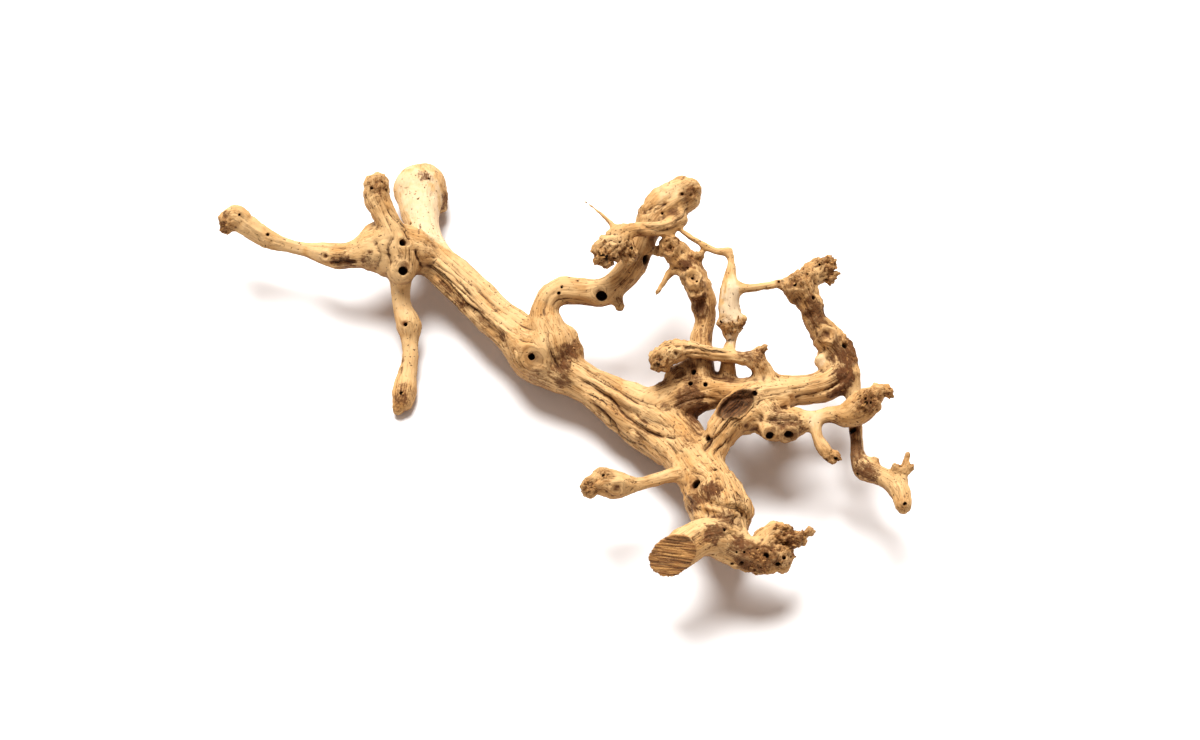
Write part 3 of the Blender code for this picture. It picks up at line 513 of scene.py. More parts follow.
class Limb:
    """A limb's route with a frame that doesn't twist, to read how far along and around a place is."""

    def __init__(self, name, points):
        self.name = name
        route = smooth_route(shifted(points), 3.0)
        self.place, self.radius = route[:, :3], np.maximum(route[:, 3], 1.0)
        step = np.diff(self.place, axis=0)
        self.length = np.linalg.norm(step, axis=1)
        self.along = np.concatenate([[0], np.cumsum(self.length)])
        heading = np.vstack([step, step[-1:]])
        heading[1:-1] = step[1:] + step[:-1]
        heading /= np.linalg.norm(heading, axis=1, keepdims=True)
        side = np.cross(heading[0], (0.3, 0.5, 0.8))
        sides = []
        for direction in heading:
            side = side - direction * (side @ direction)
            side = side / np.linalg.norm(side)
            sides.append(side)
        self.heading, self.side = heading, np.array(sides)
        self.other = np.cross(self.heading, self.side)
        self.knots = []

    def take_knots(self, knots):
        """Keeps the knots that grow on this limb, in its straightened places."""
        for x, y, z, radius, _ in knots:
            away, straight = self.read(np.array([(x, y, z)], float))
            if away[0] < 5:
                self.knots.append((straight[0], radius))

    def round_knots(self, straight):
        """Straightened places drawn in towards each knot, so that fibres read in them run round it."""
        straight = straight.copy()
        for knot, radius in self.knots:
            off = straight - knot
            reach2 = (off**2).sum(1)
            fade = np.exp(-reach2 / (2.6 * radius)**2)
            share = radius**2 / (reach2 + 0.3 * radius**2)
            straight[:, 1:] -= off[:, 1:] * (np.clip(share, 0, 0.9) * fade)[:, None]
        return straight

    def read(self, places):
        """Signed distance to the limb's round surface, and straightened coordinates (n, 3)."""
        best = np.full(len(places), 1e9)
        straight = np.zeros((len(places), 3))
        for i, size in enumerate(self.length):
            step = self.place[i + 1] - self.place[i]
            share = np.clip((places - self.place[i]) @ step / size**2, 0, 1)
            off = places - self.place[i] - share[:, None] * step
            radius = self.radius[i] * (1 - share) + self.radius[i + 1] * share
            reach = np.linalg.norm(off, axis=1) - radius
            near = reach < best
            if not near.any():
                continue
            best[near] = reach[near]
            s, o = share[near, None], off[near]
            side = self.side[i] * (1 - s) + self.side[i + 1] * s
            other = self.other[i] * (1 - s) + self.other[i + 1] * s
            ahead = self.along[i] + share[near] * size + o @ (step / size)
            straight[near] = np.stack([ahead, np.einsum("ij,ij->i", o, side),
                                       np.einsum("ij,ij->i", o, other)], axis=1)
        return best, straight


# ---------------------------------------------------------------- mesh helpers

def object_of(name, shape):
    mesh = bpy.data.meshes.new(name)
    if isinstance(shape, bmesh.types.BMesh):
        shape.to_mesh(mesh)
        shape.free()
    else:
        mesh.from_pydata(*shape)
    obj = bpy.data.objects.new(name, mesh)
    bpy.context.scene.collection.objects.link(obj)
    return obj


def settled(obj):
    """The object's evaluated mesh in place of its modifiers."""
    graph = bpy.context.evaluated_depsgraph_get()
    mesh = bpy.data.meshes.new_from_object(obj.evaluated_get(graph))
    old = obj.data
    obj.modifiers.clear()
    obj.data = mesh
    bpy.data.meshes.remove(old)
    return obj


def remeshed(obj, voxel):
    fuse = obj.modifiers.new("fuse", "REMESH")
    fuse.mode = "VOXEL"
    fuse.voxel_size = voxel
    fuse.use_smooth_shade = True
    return settled(obj)


def cut_away(obj, cutter, solver="MANIFOLD"):
    cut = obj.modifiers.new("cut", "BOOLEAN")
    cut.operation = "DIFFERENCE"
    cut.solver = solver
    cut.object = cutter
    settled(obj)
    bpy.data.objects.remove(cutter)
    return obj


def places_of(mesh):
    flat = np.empty(len(mesh.vertices) * 3, np.float32)
    mesh.vertices.foreach_get("co", flat)
    return flat.reshape(-1, 3).astype(float)


def normals_of(mesh):
    flat = np.empty(len(mesh.vertices) * 3, np.float32)
    mesh.vertex_normals.foreach_get("vector", flat)
    return flat.reshape(-1, 3).astype(float)


def put_places(mesh, places):
    mesh.vertices.foreach_set("co", places.astype(np.float32).ravel())
    mesh.update()


def edges_of(mesh):
    flat = np.empty(len(mesh.edges) * 2, np.int32)
    mesh.edges.foreach_get("vertices", flat)
    return flat.reshape(-1, 2)


def neighbour_mean(values, edges, count):
    """Each vertex's mean over its neighbours of values (n, k)."""
    total = np.zeros_like(values)
    for axis in range(values.shape[1]):
        total[:, axis] = (np.bincount(edges[:, 0], values[edges[:, 1], axis], len(values))
                          + np.bincount(edges[:, 1], values[edges[:, 0], axis], len(values)))
    return total / count[:, None]


# ---------------------------------------------------------------- the round core

def round_core():
    joined = bmesh.new()
    curves = []
    for name, points in LIMBS.items():
        curve = bpy.data.curves.new(name, "CURVE")
        curve.dimensions = "3D"
        curve.bevel_depth = 1
        curve.bevel_resolution = 3
        curve.use_fill_caps = True
        route = smooth_route(shifted(points), 3.0)
        spline = curve.splines.new("POLY")
        spline.points.add(len(route) - 1)
        for spline_point, place in zip(spline.points, route):
            spline_point.co = (*place[:3], 1)
            spline_point.radius = max(place[3], 1.0)
        obj = bpy.data.objects.new(name, curve)
        bpy.context.scene.collection.objects.link(obj)
        curves.append(obj)
    graph = bpy.context.evaluated_depsgraph_get()
    for obj in curves:
        mesh = bpy.data.meshes.new_from_object(obj.evaluated_get(graph))
        joined.from_mesh(mesh)
        bpy.data.meshes.remove(mesh)
        bpy.data.objects.remove(obj)
    for points in LIMBS.values():
        for x, y, z, radius in shifted(points):
            bmesh.ops.create_icosphere(joined, subdivisions=3, radius=radius,
                                       matrix=Matrix.Translation((x, y, z)))
    return object_of("driftwood_skin", joined)


def pocket_cutter():
    turn = Vector(HOLLOW_LONG_AXIS).to_track_quat("X", "Z").to_matrix().to_4x4()
    place = Matrix.Translation(Vector(HOLLOW_MIDDLE) - Vector(FOOTPRINT_MIDDLE))
    shape = bmesh.new()
    bmesh.ops.create_icosphere(shape, subdivisions=4, radius=1,
                               matrix=place @ turn @ Matrix.Diagonal((*HOLLOW_HALF_SIZES, 1)))
    return object_of("pocket_cutter", shape)


def saw_cutter():
    normal = Vector(SAW_NORMAL).normalized()
    turn = normal.to_track_quat("Z", "Y").to_matrix().to_4x4()
    middle = Vector(SAW_POINT) - Vector(FOOTPRINT_MIDDLE) + normal * SAW_SIDE / 2
    shape = bmesh.new()
    bmesh.ops.create_cube(shape, size=SAW_SIDE, matrix=Matrix.Translation(middle) @ turn)
    return object_of("saw_cutter", shape)


def ground_cutter():
    shape = bmesh.new()
    slab = Matrix.Translation((0, 0, -40)) @ Matrix.Diagonal((900, 900, 80, 1))
    bmesh.ops.create_cube(shape, size=1, matrix=slab)
    return object_of("ground_cutter", shape)


def fill_forks(obj, passes):
    """Draws the skin out where it is concave, as wood fills a fork, and leaves the rest alone."""
    mesh = obj.data
    places, edges = places_of(mesh), edges_of(mesh)
    count = np.bincount(edges.ravel(), minlength=len(places)).astype(float)
    normals = normals_of(mesh)
    for turn in range(passes):
        pull = neighbour_mean(places, edges, count) - places
        out = np.einsum("ij,ij->i", pull, normals)
        places = places + np.where(out > 0, 0.6, 0.03)[:, None] * pull
        if turn % 10 == 9:
            put_places(mesh, places)
            normals = normals_of(mesh)
    put_places(mesh, places)
    return obj


# ---------------------------------------------------------------- how the fibres run

def limb_reads(places, limbs):
    """For each limb: the vertices near it, how far outside it they lie, and their straightened places."""
    reads = []
    for limb in limbs:
        margin = limb.radius.max() + FIBRE_REACH
        low, high = limb.place.min(0) - margin, limb.place.max(0) + margin
        near = np.flatnonzero(((places > low) & (places < high)).all(1))
        away, straight = limb.read(places[near])
        close = away < FIBRE_REACH
        straight = limb.round_knots(straight[close])
        reads.append((near[close], away[close], straight))
    return reads


def limb_shares(reads, count):
    """How much each limb's fibres show at each of its vertices: all of a vertex's shares add up to one."""
    nearest = np.full(count, 1e9)
    for near, away, _ in reads:
        nearest[near] = np.minimum(nearest[near], np.maximum(away, -4))
    shares, total = [], np.zeros(count)
    for near, away, _ in reads:
        share = np.exp(-(np.maximum(away, -4) - nearest[near]) / FIBRE_BLEND)
        total[near] += share
        shares.append(share)
    return [share / total[near] for (near, _, _), share in zip(reads, shares)]


def fibre_channels(reads, shares, count):
    """Straightened places in channels, so that neighbouring limbs don't share one, and their weights."""
    size = len(reads)
    marks = np.zeros((size, count), bool)
    for i, ((near, _, _), share) in enumerate(zip(reads, shares)):
        marks[i, near] = share > 0.03
    touching = (marks.astype(np.float32) @ marks.T.astype(np.float32)) > 0
    channel = np.full(size, -1)
    for i in np.argsort(-marks.sum(1)):
        taken = {channel[j] for j in np.flatnonzero(touching[i]) if j != i and channel[j] >= 0}
        free = [c for c in range(CHANNELS) if c not in taken]
        if free:
            channel[i] = free[0]
        else:
            overlap = [sum((marks[i] & marks[j]).sum() for j in range(size) if channel[j] == c)
                       for c in range(CHANNELS)]
            channel[i] = int(np.argmin(overlap))
    places = np.zeros((CHANNELS, count, 3))
    weights = np.zeros((CHANNELS, count))
    closest = np.full((CHANNELS, count), 1e9)
    for i, ((near, away, straight), share) in enumerate(zip(reads, shares)):
        c = channel[i]
        weights[c, near] += share
        better = away < closest[c, near]
        closest[c, near[better]] = away[better]
        places[c, near[better]] = straight[better] + np.array([i * 37.0, i * 11.0, 0])
    return places, weights


# ---------------------------------------------------------------- marks worked into the skin

class Skin:
    """The skin's vertices, for finding the ones near a mark and the ones on its side of the limb."""

    def __init__(self, mesh):
        self.places, self.normals = places_of(mesh), normals_of(mesh)
        self.tree = KDTree(len(self.places))
        for i, place in enumerate(self.places):
            self.tree.insert(place, i)
        self.tree.balance()

    def nearest(self, place):
        return self.tree.find(place)[1]

    def around(self, place, reach):
        """Indices, distances and side weights of the vertices around the skin's nearest point to place."""
        middle = self.nearest(place)
        centre, out = self.places[middle], self.normals[middle]
        found = self.tree.find_range(centre, reach)
        index = np.array([i for _, i, _ in found])
        distance = np.array([d for _, _, d in found])
        same_side = np.clip(self.normals[index] @ out * 2.5 - 0.2, 0, 1)
        return index, distance, same_side


def rough_edge(places, wave, seed):
    return ripple(places / wave, seed) + 0.5 * ripple(places / (wave * 0.45), seed + 1)


def knot_marks(skin, knots):
    """Relief of the knots, and each vertex's place in its knot (0 middle, 1 rim) and strength."""
    count = len(skin.places)
    relief, ring, strength = np.zeros(count), np.full(count, 2.0), np.zeros(count)
    for x, y, z, radius, rim in knots:
        index, distance, side = skin.around((x, y, z), radius * 2.2)
        wobble = 1 + 0.3 * rough_edge(skin.places[index], radius * 0.9, 3)
        turn = distance * wobble / radius
        lift = (rim * np.exp(-((turn - 0.95) / 0.34)**2) - 1.1 * rim * np.exp(-(turn / 0.55)**2)
                + 0.10 * np.sin(turn * 15) * np.exp(-turn**4))
        relief[index] += lift * side
        better = turn < ring[index]
        ring[index[better]] = turn[better]
        strength[index] = np.maximum(strength[index], side * np.clip(1.5 - turn, 0, 1) * 2)
    return relief, ring, np.clip(strength, 0, 1)


def patch_marks(skin, patches, wave, seed, soft):
    """Strength, 0 to 1, of ragged patches (x, y, z, radius, strength)."""
    mask = np.zeros(len(skin.places))
    for x, y, z, radius, strength in patches:
        index, distance, side = skin.around((x, y, z), radius * 1.9)
        edge = radius * (1 + 0.55 * rough_edge(skin.places[index], wave, seed))
        amount = np.clip((edge - distance) / soft + 0.5, 0, 1) * side * strength
        mask[index] = np.maximum(mask[index], amount)
    return mask


def torn_marks(skin, ends):
    mask, rough = np.zeros(len(skin.places)), np.zeros(len(skin.places))
    for x, y, z, reach, roughness in ends:
        index, distance, _ = skin.around((x, y, z), reach * 1.8)
        amount = np.exp(-(distance / reach)**4)
        mask[index] = np.maximum(mask[index], amount)
        rough[index] = np.maximum(rough[index], amount * roughness)
    return mask, rough


def crack_route(skin, points, seed):
    """A crack's points every millimetre on the skin, with a slight waver."""
    points = np.array(points, float)
    route = smooth_route([(*p, 0) for p in points], 1.0)[:, :3]
    if len(route) > 4:
        route += 0.7 * np.stack([ripple(route / 9, seed + k) for k in range(3)], axis=1)
    index = [skin.nearest(place) for place in route]
    route = skin.places[index]
    for _ in range(4):
        route[1:-1] = route[1:-1] * 0.5 + (route[:-2] + route[2:]) * 0.25
    return route, skin.normals[index]


def crack_marks(skin, cracks):
    """Relief of the cracks, and each vertex's distance to one side of the nearest and its strength."""
    count = len(skin.places)
    relief, offset, strength = np.zeros(count), np.full(count, 3.0), np.zeros(count)
    closest = np.full(count, 1e9)
    for number, (half_width, depth, points) in enumerate(cracks):
        route, out = crack_route(skin, points, number * 7)
        reach = 3.2 + half_width * 2
        low, high = route.min(0) - reach, route.max(0) + reach
        near = np.flatnonzero(((skin.places > low) & (skin.places < high)).all(1))
        if len(near) == 0:
            continue
        places = skin.places[near]
        best = np.full(len(near), 1e9)
        side, share = np.zeros(len(near)), np.zeros(len(near))
        for i in range(len(route) - 1):
            step = route[i + 1] - route[i]
            size = max(float(step @ step), 1e-9)
            t = np.clip((places - route[i]) @ step / size, 0, 1)
            off = places - route[i] - t[:, None] * step
            d = np.linalg.norm(off, axis=1)
            closer = d < best
            best[closer] = d[closer]
            across = np.cross(step / np.sqrt(size), out[i])
            side[closer] = np.sign(off[closer] @ across + 1e-9)
            share[closer] = (i + t[closer]) / (len(route) - 1)
        keep = best < reach
        near, best, side, share = near[keep], best[keep], side[keep], share[keep]
        taper = np.clip(np.minimum(share, 1 - share) * 7, 0, 1)**0.7
        ragged = 0.85 + 0.35 * ripple(skin.places[near] / 15, number)
        relief[near] -= depth * taper * ragged * np.exp(-(best / (half_width * 1.15))**2)
        relief[near] += 0.18 * depth * taper * np.exp(-((best - half_width * 2.4) / (half_width * 1.1))**2)
        score = best - taper * half_width
        better = score < closest[near]
        closest[near[better]] = score[better]
        offset[near[better]] = (best * side)[better]
        strength[near[better]] = (taper * np.clip(depth * 0.55 - 0.1, 0.15, 1) / max(1.0, half_width)
                                  * np.clip(1.6 - best / 2.0, 0, 1)
                                  * np.clip(ragged, 0.3, 1.1))[better]
    return relief, np.clip(offset, -3, 3), strength


def sawn_share(places):
    """1 on the sawn face, and 0 away from it."""
    normal = np.array(SAW_NORMAL) / np.linalg.norm(SAW_NORMAL)
    middle = np.array(SAW_POINT) - np.array(FOOTPRINT_MIDDLE)
    off = places - middle
    near = np.linalg.norm(off, axis=1) < SAW_FACE_REACH
    return np.where(near, np.clip(1.5 - np.abs(off @ normal) / 0.6, 0, 1), 0.0)


def saw_ridges(places):
    """Height of the ridges that the blade left across the sawn face."""
    across = np.array(SAW_ACROSS) / np.linalg.norm(SAW_ACROSS)
    t = (places - np.array(SAW_POINT) + np.array(FOOTPRINT_MIDDLE)) @ across
    t = t + 0.9 * ripple(places / 11, 5)
    along = np.cross(np.array(SAW_NORMAL), across)
    streak = field(t / 1.6, (places @ along) / 14, np.zeros(len(places)))
    return 0.30 * np.sin(2 * np.pi * t / SAW_PITCH) + 0.45 * ripple(streak, 6)


def stray_marks(skin, headings, girth):
    """Seeded bores, knots, scars and cracks for the sides that no table above describes."""
    rng = np.random.default_rng(SEED)
    seen = skin.normals @ VIEW_SIDE
    order = rng.permutation(len(skin.places))
    unseen = [i for i in order if seen[i] < -0.05 and skin.places[i, 2] > 3 and girth[i] > 5]
    used = []

    def take(number, gap, least_girth):
        taken = []
        while unseen and len(taken) < number:
            i = unseen.pop()
            if girth[i] < least_girth or any(np.linalg.norm(skin.places[i] - p) < gap for p in used):
                continue
            used.append(skin.places[i])
            taken.append(i)
        return taken

    knots = [(*skin.places[i], rng.uniform(3.5, 8), rng.uniform(0.5, 1.2)) for i in take(18, 16, 8)]
    scars = [(*skin.places[i], rng.uniform(3, 7.5), rng.uniform(0.6, 1)) for i in take(22, 12, 7)]
    bores = [(*skin.places[i], rng.choice([1.1, 1.5, 2, 2.6, 3.4], p=[0.3, 0.3, 0.2, 0.15, 0.05]), 6)
             for i in take(46, 6, 6)]
    cracks = []
    finer = [i for i in order if girth[i] > 9][:4000]
    starts = take(24, 12, 7) + [i for i in finer if seen[i] > 0][:STRAY_CRACKS_SEEN]
    for i in starts:
        points, reach = [skin.places[i]], rng.uniform(10, 34)
        for way in (1, -1):
            at, here = i, skin.places[i]
            for _ in range(int(reach / 4)):
                here = here + headings[at] * 4.0 * way
                at = skin.nearest(here)
                if np.linalg.norm(skin.places[at] - here) > 3:
                    break
                here = skin.places[at]
                points = points + [here] if way > 0 else [here] + points
        if len(points) > 2:
            cracks.append((rng.uniform(0.4, 0.7), rng.uniform(0.3, 0.8), points))
    return knots, scars, bores, cracks


def field(*columns):
    return np.stack(columns, axis=1)


def fibre_relief(places, limbs, reads, shares):
    """Flutes, waves and fine ribs that follow each limb's fibres."""
    relief = np.zeros(len(places))
    for limb, (near, _, straight), share in zip(limbs, reads, shares):
        depth = FLUTE_DEPTH.get(limb.name, PLAIN_FLUTE)
        s, a, b = straight.T
        furrow = ripple(field(s / 260, a / 12, b / 12), 1)
        narrow = ripple(field(s / 170, a / 5.2, b / 5.2), 4)
        wide = ripple(field(s / 90, a / 15, b / 15), 2)
        streak = ripple(field(s / 90, a / 3.0, b / 3.0), 5)
        fine = ripple(field(s / 60, a / 1.7, b / 1.7), 3)
        open_run = np.clip(ripple(field(s / 110, a / 16, b / 16), 7) * 3 + 0.1, 0, 1)
        if limb.name == "trunk":
            depth = depth * np.clip((s - 30) / 70, 0.12, 1)
        ribs = np.exp(-(furrow / 0.09)**2) + 0.8 * open_run * np.exp(-(narrow / 0.09)**2)
        flutes = depth * (1.5 * wide - 1.2 * ribs + 0.35 * streak)
        relief[near] += share * (flutes + 0.15 * fine + 0.12 * streak)
    return relief


def lumps(places, girth):
    soft = np.clip(girth / 14, 0.25, 1)
    swells = 1.2 * ripple(places / 27, 8) + 0.35 * ripple(places / 12, 9)
    return soft * swells + 0.07 * ripple(places / 4.5, 10)


def gnarl_relief(places, limbs, reads, shares):
    """Knobs and folds, as gnarled as each limb is there."""
    gnarl = np.zeros(len(places))
    for limb, (near, _, straight), share in zip(limbs, reads, shares):
        root, tip = GNARL.get(limb.name, PLAIN_GNARL)
        ahead = np.clip(straight[:, 0] / limb.along[-1], 0, 1)
        gnarl[near] += share * (root + (tip - root) * ahead**2.5)
    knobs = np.minimum(4.0 * np.abs(ripple(places / 12.0, 40)), 1.6) - 0.9
    folds = 1 - 3.0 * np.abs(ripple(places * np.array((1, 1, 0.7)) / 8.0, 43))
    small = np.minimum(4.5 * np.abs(ripple(places / 5.0, 41)), 1.5) - 0.8
    grain = 0.35 * small * np.clip(gnarl - 0.3, 0.1, 1.2) + 0.2 * ripple(places / 2.3, 42)
    return gnarl * (0.8 * knobs + 0.45 * folds + grain)


def local_girth(limbs, reads, shares, count):
    """The limb radius and heading at each vertex."""
    girth, heading = np.zeros(count), np.zeros((count, 3))
    for limb, (near, _, straight), share in zip(limbs, reads, shares):
        ahead = np.clip(straight[:, 0], 0, limb.along[-1])
        girth[near] += share * np.interp(ahead, limb.along, limb.radius)
        for axis in range(3):
            heading[near, axis] += share * np.interp(ahead, limb.along, limb.heading[:, axis])
    size = np.linalg.norm(heading, axis=1, keepdims=True)
    return girth, heading / np.maximum(size, 1e-6)


def openness(skin, mesh):
    """How open each vertex lies to the blasting and the light: 1 in the open, 0 where limbs shelter it on
    every side; the colour draws it as brown the blasting missed and as painted shade.
    """
    faces = np.empty(len(mesh.loops), np.int32)
    mesh.loops.foreach_get("vertex_index", faces)
    starts = np.empty(len(mesh.polygons), np.int32)
    mesh.polygons.foreach_get("loop_start", starts)
    sizes = np.empty(len(mesh.polygons), np.int32)
    mesh.polygons.foreach_get("loop_total", sizes)
    polygons = [faces[a:a + n].tolist() for a, n in zip(starts, sizes)]
    shelter = BVHTree.FromPolygons(skin.places.tolist(), polygons)
    _, picked = np.unique(np.round(skin.places / 3.5).astype(int), axis=0, return_index=True)
    rng = np.random.default_rng(SEED + 2)
    rays = rng.normal(size=(BLAST_AND_SHADE_RAYS, 3))
    rays /= np.linalg.norm(rays, axis=1, keepdims=True)
    coarse = KDTree(len(picked))
    light = []
    for k, i in enumerate(picked):
        place, out = skin.places[i], skin.normals[i]
        ways = rays * 0.96 + out
        ways /= np.linalg.norm(ways, axis=1, keepdims=True)
        start = Vector(place + out * 0.8)
        open_ways = 0.0
        for way in ways:
            hit = shelter.ray_cast(start, Vector(way), BLAST_AND_SHADE_REACH)
            open_ways += 1.0 if hit[0] is None else 0.75 * hit[3] / BLAST_AND_SHADE_REACH
        light.append(open_ways / BLAST_AND_SHADE_RAYS)
        coarse.insert(place, k)
    coarse.balance()
    light = np.array(light)
    result = np.empty(len(skin.places))
    for i, place in enumerate(skin.places):
        found = coarse.find_n(place, 4)
        share = np.array([1 / (d + 0.5) for _, _, d in found])
        result[i] = light[[k for _, k, _ in found]] @ share / share.sum()
    return result


def hollowness(mesh, passes):
    """How far the skin lies below its own smoothed shape, in mm: above zero in hollows."""
    places, normals, edges = places_of(mesh), normals_of(mesh), edges_of(mesh)
    count = np.bincount(edges.ravel(), minlength=len(places)).astype(float)
    smooth = places.copy()
    for _ in range(passes):
        smooth = 0.4 * smooth + 0.6 * neighbour_mean(smooth, edges, count)
    return np.einsum("ij,ij->i", smooth - places, normals)


def bore_cutter(skin, bores):
    """One mesh of slightly tapered round pegs, each square to the skin within a few degrees."""
    rng = np.random.default_rng(SEED + 1)
    shape = bmesh.new()
    kept = []
    for x, y, z, radius, depth in bores:
        i = skin.nearest((x, y, z))
        place, out = skin.places[i], skin.normals[i]
        tilt = out + rng.normal(size=3) * 0.12
        tilt /= np.linalg.norm(tilt)
        depth = float(depth)
        if any(np.linalg.norm(place - other) < radius + r + 0.8 for other, r, _, _ in kept):
            continue
        kept.append((place, radius, tilt, depth))
        turn = Vector(tilt).to_track_quat("Z", "Y").to_matrix().to_4x4()
        sides, rings = (18 if radius > 2 else 12), 5
        heights = np.linspace(3.0, -depth, rings)
        loops = []
        for k, height in enumerate(heights):
            wide = radius * (1.0 - 0.10 * k / (rings - 1)) * (0.72 if k == rings - 1 else 1)
            loop = []
            for j in range(sides):
                angle = 2 * np.pi * j / sides
                wobble = 1 + 0.07 * np.sin(2 * angle + radius * 9)
                spot = Vector((wide * wobble * np.cos(angle), wide * np.sin(angle), height))
                loop.append(shape.verts.new(Matrix.Translation(place) @ turn @ spot))
            loops.append(loop)
        for upper, lower in zip(loops, loops[1:]):
            for j in range(sides):
                k = (j + 1) % sides
                shape.faces.new((upper[j], lower[j], lower[k], upper[k]))
        shape.faces.new(loops[0])
        shape.faces.new(loops[-1][::-1])
    bmesh.ops.recalc_face_normals(shape, faces=shape.faces)
    return object_of("bore_cutter", shape), kept


def decimated(obj, triangles):
    thin = obj.modifiers.new("thin", "DECIMATE")
    thin.ratio = triangles / (len(obj.data.polygons) * 2)
    return settled(obj)


# ---------------------------------------------------------------- the wood's finish

def put_attribute(mesh, name, values):
    kind, key = ("FLOAT", "value") if values.ndim == 1 else ("FLOAT_VECTOR", "vector")
    attribute = mesh.attributes.new(name, kind, "POINT")
    attribute.data.foreach_set(key, values.astype(np.float32).ravel())


class Nodes:
    """Short calls that add a node to a tree and give back its output."""

    def __init__(self, tree):
        self.tree = tree

    def add(self, kind, inputs=(), out=0, **settings):
        node = self.tree.nodes.new(kind)
        for key, value in settings.items():
            setattr(node, key, value)
        for key, value in dict(inputs).items():
            self.put(node.inputs[key], value)
        return node.outputs[out]

    def put(self, socket, value):
        if isinstance(value, bpy.types.NodeSocket):
            self.tree.links.new(value, socket)
        elif value is not None:
            socket.default_value = value

    def math(self, operation, *values, clamp=False):
        return self.add("ShaderNodeMath", enumerate(values), operation=operation, use_clamp=clamp)

    def plus(self, first, second):
        return self.math("ADD", first, second)

    def times(self, first, second):
        return self.math("MULTIPLY", first, second)

    def most(self, first, second):
        return self.math("MAXIMUM", first, second)

    def swing(self, value, size):
        """A noise value that swings about nought instead of a half, by size."""
        return self.times(self.math("SUBTRACT", value, 0.5), size)

    def vector(self, operation, *values, out=0):
        return self.add("ShaderNodeVectorMath", enumerate(values), out=out, operation=operation)

    def fade(self, value, low, high, start=0.0, end=1.0):
        """start below low, end above high, and a smooth step between."""
        return self.add("ShaderNodeMapRange", enumerate((value, low, high, start, end)),
                        interpolation_type="SMOOTHSTEP")

    def noise(self, place, scale, detail=2.0, roughness=0.5, out=0):
        return self.add("ShaderNodeTexNoise", {"Vector": place, "Scale": scale, "Detail": detail,
                                               "Roughness": roughness}, out=out)

    def mix(self, share, first, second, blend="MIX"):
        node = self.tree.nodes.new("ShaderNodeMix")
        node.data_type = "RGBA"
        node.blend_type = blend
        for key, value in ((0, share), (6, first), (7, second)):
            if isinstance(value, tuple) and len(value) == 3:
                value = (*value, 1.0)
            self.put(node.inputs[key], value)
        return node.outputs[2]

    def attribute(self, name, out="Vector"):
        return self.add("ShaderNodeAttribute", attribute_type="GEOMETRY", attribute_name=name, out=out)

    def split(self, vector):
        node = self.tree.nodes.new("ShaderNodeSeparateXYZ")
        self.put(node.inputs[0], vector)
        return node.outputs[0], node.outputs[1], node.outputs[2]


def shader_group(name, inputs, outputs):
    """A new shader group with named sockets, its Nodes, its inputs and the sockets of its output."""
    tree = bpy.data.node_groups.new(name, "ShaderNodeTree")
    for label, kind, default in inputs:
        socket = tree.interface.new_socket(label, in_out="INPUT", socket_type=kind)
        if default is not None:
            socket.default_value = default
    for label, kind in outputs:
        tree.interface.new_socket(label, in_out="OUTPUT", socket_type=kind)
    start, end = tree.nodes.new("NodeGroupInput"), tree.nodes.new("NodeGroupOutput")
    return tree, Nodes(tree), start.outputs, end.inputs


FLOAT, VECTOR = "NodeSocketFloat", "NodeSocketVector"


def fibre_group():
    """Fibres, fine checks and long figure, drawn in one limb's straightened places (mm)."""
    tree, n, given, end = shader_group(
        "vine_fibres",
        [("Place", VECTOR, None), ("Fibre Width", FLOAT, 1.0), ("Fibre Length", FLOAT, 20.0),
         ("Check Width", FLOAT, 5.0), ("Check Length", FLOAT, 60.0)],
        [("Fibre", FLOAT), ("Check", FLOAT), ("Figure", FLOAT)])

    def stretched(length, width):
        sizes = (length, width, width)
        parts = {k: n.math("DIVIDE", 1.0, size) for k, size in enumerate(sizes)}
        scale = n.add("ShaderNodeCombineXYZ", parts)
        return n.vector("MULTIPLY", given["Place"], scale)

    fine = n.noise(stretched(given["Fibre Length"], given["Fibre Width"]), 1.0, 2.0, 0.6)
    long = stretched(given["Check Length"], given["Check Width"])
    line = n.noise(long, 1.0, 1.0, 0.55)
    where = n.noise(long, 0.55, 1.0)
    thin = n.math("ABSOLUTE", n.math("SUBTRACT", line, 0.5))
    check = n.fade(thin, 0.0, 0.022, 1.0, 0.0)
    check = n.times(check, n.fade(where, 0.50, 0.62))
    figure = n.noise(n.vector("MULTIPLY", given["Place"], (1 / 55, 1 / 9, 1 / 9)), 1.0, 3.0, 0.6)
    n.put(end["Fibre"], fine)
    n.put(end["Check"], check)
    n.put(end["Figure"], figure)
    return tree


def limb_fibres(n, group, widths):
    """The fibres of all four channels, each by its share."""
    weights = list(n.split(n.attribute("fibre_share")))
    rest = n.math("SUBTRACT", 1.0, n.plus(n.plus(weights[0], weights[1]), weights[2]), clamp=True)
    totals = [None, None, None]
    for letter, weight in zip("abcd", weights + [rest]):
        node = n.tree.nodes.new("ShaderNodeGroup")
        node.node_tree = group
        n.put(node.inputs["Place"], n.attribute("fibre_place_" + letter))
        for label, value in widths.items():
            node.inputs[label].default_value = value
        for k in range(3):
            if totals[k] is None:
                totals[k] = n.times(node.outputs[k], weight)
            else:
                totals[k] = n.math("MULTIPLY_ADD", node.outputs[k], weight, totals[k])
    return totals


def saw_coordinates(n, place):
    """Place along, across and through the sawn face, mm."""
    through = Vector(SAW_NORMAL).normalized()
    across = Vector(SAW_ACROSS).normalized()
    along = across.cross(through)
    axes = (along, across, through)
    parts = {k: n.vector("DOT_PRODUCT", place, tuple(axis), out=1) for k, axis in enumerate(axes)}
    return n.add("ShaderNodeCombineXYZ", parts)


def wood_material(name):
    """A new material, its Nodes, its shader and the object's own coordinates in mm."""
    material = bpy.data.materials.new(name)
    material.use_nodes = True
    n = Nodes(material.node_tree)
    shader = material.node_tree.nodes["Principled BSDF"]
    place = n.vector("SCALE", n.add("ShaderNodeTexCoord", out=3), None)
    place.node.inputs["Scale"].default_value = 1 / MM
    return material, n, shader, place


